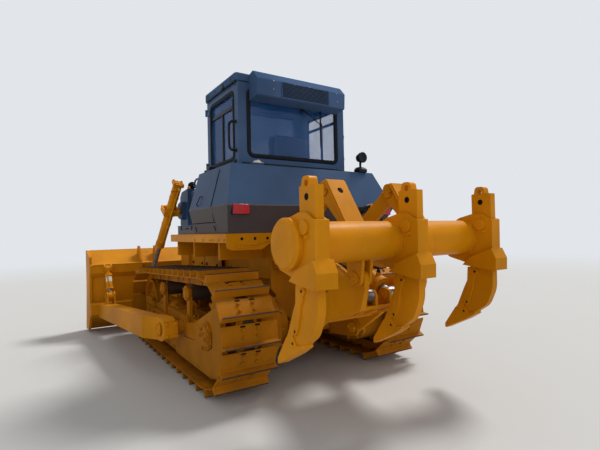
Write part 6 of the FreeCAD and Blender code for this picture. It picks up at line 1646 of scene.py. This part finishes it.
@dataclass
class Blade(Assembly):
    """The blade's wear-plate bolts, weld beads and pins, and the two braces' bands, threads and lines."""

    half: float = 1.862
    lip: tuple[float, float] = (2.722, 0.248)
    foot: tuple[float, float] = (2.840, 0.025)
    edge_thick: float = 0.022
    end_bit: float = 0.235
    brace_y: float = 1.615
    brace_foot: tuple[float, float] = (2.000, 0.640)
    brace_head: tuple[float, float] = (2.232, 1.045)

    def edge_bolts(self) -> list[Surface]:
        """Plough bolts along the cutting edge and on the end bits."""
        fall = unit(np.array([self.foot[0] - self.lip[0], 0.0, self.foot[1] - self.lip[1]]))
        out = np.array([-fall[2], 0.0, fall[0]])
        lip = np.array([self.lip[0], 0.0, self.lip[1]])
        head = spun([(-0.002, 0.021), (0.0015, 0.021), (0.003, 0.017), (0.003, 0.010), (0.001, 0.009)], sides=16)
        middle = lip + fall * 0.125 + out * self.edge_thick
        reach = self.half - self.end_bit - 0.09
        spots = row_of(middle - (0, reach, 0), middle + (0, reach, 0), 15)
        ends = [lip + fall * d + out * self.edge_thick * 1.2 + np.array([0, s * (self.half - y), 0])
                for d in (0.09, 0.17) for s in (1, -1) for y in (0.065, 0.170)]
        return [scattered(head, spots, out), scattered(head, np.array(ends), out)]

    def welds(self) -> list[Surface]:
        """Beads along the back's box, the ribs, the end plates and the brace lugs."""
        made = []
        x = 2.300
        for z in (0.505, 0.980, 1.110):
            made.append(weld([(x + 0.001, -1.825, z), (x + 0.001, 1.825, z)], 0.006))
        for s in (1, -1):
            made.append(weld([(2.376, s * 1.831, 0.52), (2.376, s * 1.831, 0.90)], 0.007, (0, 1, 0)))
            for y, top in ((0.805, 0.97), (0.830, 0.66), (1.070, 0.97), (1.095, 0.97)):
                made.append(weld([(x + 0.002, s * y, 0.53), (x + 0.002, s * y, top)], 0.006, (0, 1, 0)))
            for u in (-0.060, -0.036, 0.036, 0.060):
                y = s * self.brace_y + u
                made.append(weld([(x + 0.002, y, 0.995), (x + 0.002, y, 1.095)], 0.005, (0, 1, 0)))
        made.append(weld([(2.846, -1.80, 1.331), (2.846, 1.80, 1.331)], 0.005))
        return made

    def pins(self) -> list[Surface]:
        """Keeper plates with a bolt on the outer end of each brace pin."""
        made = []
        for s in (1, -1):
            for x, z in (self.brace_foot, self.brace_head):
                y = s * (self.brace_y + 0.065)
                made.append(spun([(-0.001, 0.034), (0.008, 0.034), (0.010, 0.030)], (x, y, z), (0, s, 0), 20))
                made.append(scattered(bolt(0.020), [(x, y + s * 0.010, z)], (0, s, 0)))
        return made

    def brace_trim(self) -> tuple[list[Surface], list[Surface], list[Surface], list[Surface]]:
        """On the left the white band, the screw's bare thread, a collar and the turning lever on its boss; on the right
        the tilt cylinder's ports and its two lines."""
        foot = np.array([self.brace_foot[0], self.brace_y, self.brace_foot[1]])
        head = np.array([self.brace_head[0], self.brace_y, self.brace_head[1]])
        way = unit(head - foot)
        rear = np.array([-way[2], 0.0, way[0]])
        band = [spun([(0.232, 0.0448), (0.318, 0.0448)], foot, way, 36)]
        turns = np.linspace(0.058, 0.110, 19)
        thread = [spun([(h, 0.031 + 0.0018 * (k % 2)) for k, h in enumerate(turns)], foot, way, 28)]
        sleeve = [spun([(0.352, 0.0462), (0.362, 0.0462)], foot, way, 32)]
        grip = foot + way * 0.155
        lever = [pipe([grip + rear * 0.030, grip + rear * 0.075 + (0, 0.02, 0),
                       grip + rear * 0.110 + way * 0.07 + (0, 0.03, 0),
                       grip + rear * 0.112 + way * 0.15 + (0, 0.03, 0)], 0.010, 10, (0, 1, 0))]
        lever.append(spun([(-0.010, 0.024), (0.010, 0.024)], grip + rear * 0.046, rear, 16))
        ports = [foot + way * 0.125 + rear * 0.054, foot + way * 0.315 + rear * 0.054]
        boss = spun([(0.0, 0.020), (0.016, 0.020), (0.020, 0.015)], sides=14)
        tilt = [scattered(boss, ports, rear).opposite()]
        lines = [line([p + rear * 0.016, p + rear * 0.060, p + rear * 0.070 - way * 0.060 - (0, 0.03, 0),
                       foot + rear * 0.115 - way * 0.02 - (0, 0.06 + 0.03 * k, 0),
                       foot + rear * 0.125 - way * 0.105 - (0, 0.06 + 0.03 * k, 0)], 0.009, (0, 1, 0)).opposite()
                 for k, p in enumerate(ports)]
        return band, thread, [*sleeve, *lever, *tilt], lines

    def make(self) -> None:
        """Build everything that rides on the blade frame."""
        band, thread, yellow, black = self.brace_trim()
        piece = Piece("blade_fittings", "blade_frame")
        piece.add(STEEL, *self.edge_bolts(), *thread).add(YELLOW_BLADE, *self.welds(), *self.pins(), *yellow)
        piece.add(WHITE, *band).add(BLACK, *black)
        cap = [block((-0.462, -0.4535), (1.300, 1.450), (0.438, 0.622), 0.004)]
        cap.append(scattered(bolt(0.030), [(-0.462, y, z) for y in (1.325, 1.425) for z in (0.465, 0.595)], (-1, 0, 0)))
        cap.append(spun([(0.0, 0.075), (0.008, 0.073), (0.010, 0.060)], (-0.330, 1.4745, 0.530), (0, 1, 0), 32))
        cap.append(scattered(bolt(0.022), ring_of((-0.330, 1.4825, 0.530), 0.060, 6, Axis.Y), (0, 1, 0)))
        for side in Side:
            piece.add(YELLOW_BLADE, *(s.on(side) for s in cap))
        piece.build()


@dataclass
class Ripper(Assembly):
    """The ripper's pin keepers, shank fittings, beam welds, cylinder lines and the arching lines behind the tank."""

    pitch: float = 1.000
    arm_y: float = 0.350
    link_y: float = 0.390
    cylinder_y: float = 0.150
    a: tuple[float, float] = (-1.520, 0.520)
    b: tuple[float, float] = (-1.190, 1.280)
    c: tuple[float, float] = (-2.400, 1.180)
    d: tuple[float, float] = (-2.070, 1.940)
    beam: tuple[float, float] = (-2.450, 1.484)
    cylinder_head: tuple[float, float] = (-1.180, 1.440)
    cylinder_eye: tuple[float, float] = (-2.250, 0.980)

    def keeper(self, x: float, y: float, z: float, way: float) -> list[Surface]:
        """A pin's end plate with two bolts, facing +Y or -Y."""
        profile = [(-0.001, 0.056), (0.009, 0.056), (0.012, 0.052), (0.012, 0.030), (0.008, 0.028)]
        disc = spun(profile, (x, y, z), (0, way, 0), 28)
        flag = block((x - 0.062, x + 0.062), sorted((y, y + way * 0.010)), (z - 0.020, z + 0.020), 0.002)
        heads = scattered(bolt(0.022), [(x - 0.044, y + way * 0.012, z), (x + 0.044, y + way * 0.012, z)], (0, way, 0))
        return [disc, flag, heads]

    def frame_trim(self) -> list[Surface]:
        """On the beam: end caps' rings, pockets' bosses and retainers, weld beads round pockets and uprights."""
        made = []
        x, z = self.beam
        for s in (1, -1):
            end = 1.116 * s
            made.append(spun([(-0.001, 0.176), (0.003, 0.175), (0.004, 0.160)], (x, end, z), (0, s, 0), 44))
        for m in (self.pitch, 0.0, -self.pitch):
            for s in (1, -1):
                face = m + s * 0.062
                px, pz = -2.662, 1.600
                made.append(spun([(-0.001, 0.052), (0.016, 0.052), (0.020, 0.046), (0.020, 0.034), (0.021, 0.030)],
                                 (px, face, pz), (0, s, 0), 28))
                made.append(plate(Axis.Y, tuple(sorted((face, face + s * 0.007))),
                                  [(px - 0.060, pz - 0.075, 0.012), (px + 0.010, pz - 0.085, 0.012),
                                   (px + 0.018, pz - 0.050, 0.012), (px - 0.050, pz - 0.040, 0.012)], 0.002))
                made.append(scattered(bolt(0.020), [(px - 0.038, face + s * 0.007, pz - 0.062)], (0, s, 0)))
            ring = ring_of((x, 0.0, z), 0.168, 22, Axis.Y, 74.0)[:17]
            for s in (1, -1):
                if abs(m + s * 0.066) < self.pitch + 0.05:
                    made.append(weld(ring + np.array([0, m + s * 0.066, 0]), 0.008, (0, 1, 0)))
        for m in (self.link_y, -self.link_y):
            for s in (1, -1):
                made += self.keeper(self.d[0], m + s * 0.069, self.d[1], s)
            for y in (m - 0.102, m + 0.102):
                made.append(weld([(-2.330, y, 1.585), (-2.424, y, 1.565)], 0.007))
                made.append(weld([(-2.134, y, 2.020), (-2.430, y, 1.580)], 0.005))
        for m in (self.arm_y, -self.arm_y):
            for s in (1, -1):
                made += self.keeper(self.c[0], m + s * 0.066, self.c[1], s)
        return made

    def covers(self) -> tuple[list[Surface], list[Surface]]:
        """A cover on the rear of each upright: a slab between a rounded outline and a round hole, both resampled
        to as many places and joined ring by ring; a dark disc lies in the hole."""
        top, foot = np.array([-2.146, 0.0, 2.028]), np.array([-2.455, 0.0, 1.560])
        way = unit(foot - top)
        out = np.array([way[2], 0.0, -way[0]])
        a = np.arange(48) * 2 * np.pi / 48
        hole = 0.030 * np.stack([np.cos(a), np.sin(a)], -1)
        reach = 1 / np.maximum(np.abs(np.cos(a)) / 0.100, np.abs(np.sin(a)) / np.where(np.sin(a) > 0, 0.380, 0.118))
        outer = reach[:, None] * np.stack([np.cos(a), np.sin(a)], -1)
        made, dark = [], []
        for m in (self.link_y, -self.link_y):
            centre = top + way * 0.128 + (0, m, 0)
            rings = [centre + uv[:, :1] * np.array([0, 1.0, 0]) + uv[:, 1:] * way + out * level
                     for uv, level in ((outer, -0.002), (outer, 0.009), (hole, 0.009), (hole, -0.002))]
            made.append(skin(np.stack(rings), True))
            dark.append(spun([(-0.001, 0.031), (0.001, 0.031)], centre, out, 32))
        return made, dark

    def shank_trim(self) -> tuple[list[Surface], list[Surface]]:
        """Cast wear guards with a round eye at each end, tips with a forked heel, their pins, and the setting hole
        at the head of each shank."""
        guard = [(-2.505, 1.190), (-2.545, 1.199, 0.02), (-2.600, 1.196, 0.03), (-2.626, 1.150, 0.03), (-2.578, 1.100, 0.03),
                 (-2.556, 0.976, 0.10), (-2.520, 0.860, 0.02), (-2.488, 0.806, 0.025), (-2.448, 0.830, 0.02),
                 (-2.398, 0.838), (-2.451, 0.908, 0.10), (-2.493, 1.004, 0.10)]
        tip = [(-2.240, 0.556), (-2.222, 0.562), (-2.224, 0.600), (-2.392, 0.826), (-2.422, 0.828), (-2.502, 0.742),
               (-2.572, 0.764), (-2.580, 0.742, 0.008), (-2.476, 0.676)]
        made, dark = [], []
        for m in (self.pitch, 0.0, -self.pitch):
            made.append(plate(Axis.Y, (m - 0.0505, m + 0.0505), guard, 0.004))
            made.append(plate(Axis.Y, (m - 0.0500, m + 0.0500), tip, 0.004))
            for s in (1, -1):
                face = m + s * 0.0505
                pins = [(-2.584, face, 1.150), (-2.486, face, 0.846), (-2.450, face, 0.752)]
                made.append(scattered(spun([(-0.002, 0.021), (0.003, 0.021), (0.004, 0.018), (0.001, 0.011)],
                                           sides=18), pins, (0, s, 0)))
                dark.append(scattered(spun([(0.0, 0.011), (0.0022, 0.011)], sides=14), pins, (0, s, 0)))
                hole = (-2.656, m + s * 0.035, 1.817)
                made.append(spun([(-0.002, 0.034), (0.0020, 0.033), (0.0020, 0.027)], hole, (0, s, 0), 24))
                dark.append(spun([(-0.002, 0.026), (0.0026, 0.026)], hole, (0, s, 0), 24))
        return made, dark

    def lower_trim(self) -> list[Surface]:
        """Keepers at the lower arm's cylinder eyes, and beads along the pan."""
        made = []
        x, z = self.cylinder_eye
        for m in (self.cylinder_y, -self.cylinder_y):
            for s in (1, -1):
                y = m + s * 0.078
                made.append(spun([(-0.002, 0.046), (0.010, 0.046), (0.013, 0.040)], (x, y, z), (0, s, 0), 24))
                made.append(scattered(bolt(0.020), [(x, y + s * 0.013, z)], (0, s, 0)))
        for s in (1, -1):
            inner, outer = s * (self.arm_y - 0.026), s * (self.arm_y + 0.024)
            made.append(weld([(-1.83, inner, 0.742), (-2.32, inner, 0.908)], 0.007))
            made.append(weld([(-1.85, outer, 0.760), (-1.85, outer, 0.900)], 0.003, (0, 1, 0)))
        return made

    def cylinder_trim(self) -> tuple[list[Surface], list[Surface]]:
        """Ports, gland bolts and a line along the back of each ripper cylinder."""
        head = np.array([self.cylinder_head[0], 0.0, self.cylinder_head[1]])
        eye = np.array([self.cylinder_eye[0], 0.0, self.cylinder_eye[1]])
        way = unit(eye - head)
        up = np.array([-way[2], 0.0, way[0]])
        up = up * math.copysign(1.0, up[2])
        made, black = [], []
        for m in (self.cylinder_y, -self.cylinder_y):
            base = head + (0, m, 0)
            face = base + way * 1.035
            a = np.arange(8) * np.pi / 4 + np.pi / 8
            ring = face + 0.084 * (np.cos(a)[:, None] * up + np.sin(a)[:, None] * np.array([0, 1.0, 0]))
            made.append(scattered(bolt(0.018), ring, way))
            boss = spun([(0.0, 0.026), (0.020, 0.026), (0.024, 0.020), (0.034, 0.020)], sides=16)
            ports = [base + way * 0.170 + up * 0.083, base + way * 0.960 + up * 0.083]
            made.append(scattered(boss, ports, up))
            black.append(line([ports[1] + up * 0.026, ports[1] + up * 0.062 - way * 0.03, base + way * 0.80 + up * 0.118,
                               base + way * 0.45 + up * 0.118, base + way * 0.235 + up * 0.122], 0.011, (0, 1, 0)))
            made += [collar((-0.012, 0.012), 0.076, 0.089, base + way * h, way) for h in (0.36, 0.72)]
            black.append(block((-0.020, 0.020), (-0.020, 0.020), (-0.018, 0.018), 0.003).moved(
                *(base + way * 0.215 + up * 0.118)))
        return made, black

    def tank_lines(self) -> tuple[list[Surface], list[Surface]]:
        """Steel lines that arch behind the tank's right half from one bulkhead block to the other, in a clamp."""
        blocks = [block((-1.262, -1.215), (y - 0.075, y + 0.075), (1.500, 1.572), 0.004) for y in (-0.520, -0.950)]
        spots = [(-1.238, y + u, 1.572) for y in (-0.520, -0.950) for u in (-0.062, 0.062)]
        bolts = scattered(bolt(0.018), spots, (0, 0, 1))
        lines = []
        for d in (0.0, 0.050):
            lines.append(line([(-1.240, -0.495 - d, 1.570), (-1.290, -0.495 - d, 1.660), (-1.385, -0.525 - d, 1.770),
                               (-1.425, -0.610 - d * 0.5, 1.845 - d), (-1.425, -0.760, 1.850 - d),
                               (-1.400, -0.880 + d * 0.5, 1.790 - d), (-1.320, -0.945 + d, 1.680), (-1.240, -0.975 + d, 1.570)],
                              0.017, (1, 0, 0.3)))
        clamp = block((-1.452, -1.398), (-0.705, -0.665), (1.775, 1.878), 0.004)
        return [*blocks, bolts, clamp], lines

    def make(self) -> None:
        """Build the fittings on each of the ripper's bodies."""
        made = self.frame_trim()
        shank, sockets = self.shank_trim()
        covers, mouths = self.covers()
        piece = Piece("ripper_frame_fittings", "ripper_frame")
        piece.add(YELLOW, *made, *shank, *covers).add(DARK, *sockets, *mouths).build()
        Piece("ripper_arm_fittings", "ripper_lower_arm").add(YELLOW, *self.lower_trim()).build()
        yellow, black = self.cylinder_trim()
        Piece("ripper_cylinder_fittings", "ripper_cylinders").add(YELLOW, *yellow).add(BLACK, *black).build()
        blocks, lines = self.tank_lines()
        mount = Piece("ripper_mount_fittings", "tractor").add(YELLOW, *blocks)
        for (x, z), reach in ((self.a, self.arm_y), (self.b, self.link_y)):
            for m in (reach, -reach):
                for s in (1, -1):
                    mount.add(YELLOW, *self.keeper(x, m + s * 0.064, z, s))
        x, z = self.cylinder_head
        for s in (1, -1):
            mount.add(YELLOW, *self.keeper(x, s * (self.cylinder_y + 0.089), z, s))
        mount.add(YELLOW, weld([(-1.101, -0.47, 1.499), (-1.101, 0.47, 1.499)], 0.006)).add(BLACK, *lines).build()


@dataclass
class Studio(Assembly):
    """Floor, lamps, world and camera."""

    place: tuple[float, float, float] = (-5.0888, 2.6661, 1.5736)
    yaw: float = -32.856
    pitch: float = 0.904
    roll: float = -1.2625
    lens: float = 25.17
    backdrop: tuple[float, float, float] = srgb(226, 230, 235)
    ground: tuple[float, float, float] = srgb(196, 194, 190)
    fade: tuple[float, float] = (9.0, 26.0)

    def camera(self) -> None:
        """Aim the camera: forward from yaw and pitch, and right turned by the roll about it."""
        yaw, pitch, roll = (math.radians(v) for v in (self.yaw, self.pitch, self.roll))
        ahead = np.array([math.cos(yaw) * math.cos(pitch), math.sin(yaw) * math.cos(pitch), math.sin(pitch)])
        level = np.array([math.sin(yaw), -math.cos(yaw), 0.0])
        above = np.cross(level, ahead)
        right = math.cos(roll) * level + math.sin(roll) * above
        upper = -math.sin(roll) * level + math.cos(roll) * above
        matrix = np.eye(4)
        matrix[:3, 0], matrix[:3, 1], matrix[:3, 2], matrix[:3, 3] = right, upper, -ahead, self.place
        data = bpy.data.cameras.new("camera")
        data.sensor_width, data.lens, data.clip_end = 36.0, self.lens, 200.0
        camera = bpy.data.objects.new("camera", data)
        camera.matrix_world = Matrix(matrix.tolist())
        bpy.context.scene.collection.objects.link(camera)
        bpy.context.scene.camera = camera

    def floor(self) -> None:
        """A pale disc whose colour fades to the backdrop's with distance from the machine."""
        t = Tree("studio_floor")
        away = t.node("ShaderNodeVectorMath", {"operation": "LENGTH"}, {0: t.place()}, output=1)
        far = away.ramp(*self.fade)
        seen = t.node("ShaderNodeLightPath", output=0)
        matt = t.node("ShaderNodeBsdfPrincipled", inputs={
            "Base Color": t.mix(t.noise(0.7, 5.0) * 0.25, self.ground, tuple(0.86 * c for c in self.ground)),
            "Roughness": 0.9})
        glow = t.node("ShaderNodeEmission", inputs={"Color": (*self.backdrop, 1.0), "Strength": 1.0})
        pale = t.surface(t.node("ShaderNodeMixShader", inputs={0: far * seen, 1: matt, 2: glow}))
        disc = spun([(-0.02, 40.0), (0.0, 40.0)], sides=64)
        mesh = bpy.data.meshes.new("floor")
        mesh.from_pydata(disc.points.tolist(), [], np.split(disc.corners, np.cumsum(disc.sizes)[:-1]))
        mesh.materials.append(pale)
        floor = bpy.data.objects.new("floor", mesh)
        bpy.context.scene.collection.objects.link(floor)

    def world(self) -> None:
        """Show the backdrop at full strength to the eye and to gloss, and light the machine with a softer one."""
        world = bpy.data.worlds.new("studio")
        bpy.context.scene.world = world
        world.use_nodes = True
        nodes, links = world.node_tree.nodes, world.node_tree.links
        nodes.clear()
        path = nodes.new("ShaderNodeLightPath")
        seen = nodes.new("ShaderNodeMath")
        seen.operation = "MAXIMUM"
        links.new(path.outputs["Is Camera Ray"], seen.inputs[0])
        gloss = nodes.new("ShaderNodeMath")
        gloss.operation = "MAXIMUM"
        links.new(path.outputs["Is Glossy Ray"], gloss.inputs[0])
        links.new(path.outputs["Is Transmission Ray"], gloss.inputs[1])
        links.new(gloss.outputs[0], seen.inputs[1])
        shown, light, mixed = (nodes.new(k) for k in ("ShaderNodeBackground",) * 2 + ("ShaderNodeMixShader",))
        shown.inputs[0].default_value, shown.inputs[1].default_value = (*self.backdrop, 1.0), 1.0
        light.inputs[0].default_value, light.inputs[1].default_value = (0.93, 0.96, 1.0, 1.0), 0.52
        links.new(seen.outputs[0], mixed.inputs[0])
        links.new(light.outputs[0], mixed.inputs[1])
        links.new(shown.outputs[0], mixed.inputs[2])
        links.new(mixed.outputs[0], nodes.new("ShaderNodeOutputWorld").inputs[0])

    def lamps(self) -> None:
        """A high sun from behind the right side, as the shadows show, and a soft fill from behind the camera."""
        for name, way, power, spread in (("sun", (0.12, -0.60, 0.92), 2.5, 16.0),
                                         ("fill", (-0.90, 0.20, 0.42), 0.34, 60.0)):
            data = bpy.data.lights.new(name, "SUN")
            data.energy, data.angle = power, math.radians(spread)
            lamp = bpy.data.objects.new(name, data)
            lamp.matrix_world = Matrix(frames(np.array(way))[0].tolist()).to_4x4()
            bpy.context.scene.collection.objects.link(lamp)

    def make(self) -> None:
        """Set the whole stage."""
        self.camera()
        self.floor()
        self.world()
        self.lamps()
        bpy.context.scene.view_settings.view_transform = "Standard"


def main() -> None:
    """Load the model and build the looks round it in order."""
    logging.basicConfig(level=logging.INFO, format="%(name)s %(message)s")
    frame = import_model()
    sides = [kind(side) for kind in (Track, TrackFrame, LiftCylinder) for side in Side]
    for assembly in (Studio(), Dressing(nodes=frame["nodes"]), *sides, Superstructure(), Cab(), Operator(), Front(),
                     Blade(), Ripper()):
        assembly.make()
        LOG.info("made %s", type(assembly).__name__)


if __name__ == "__main__":
    main()
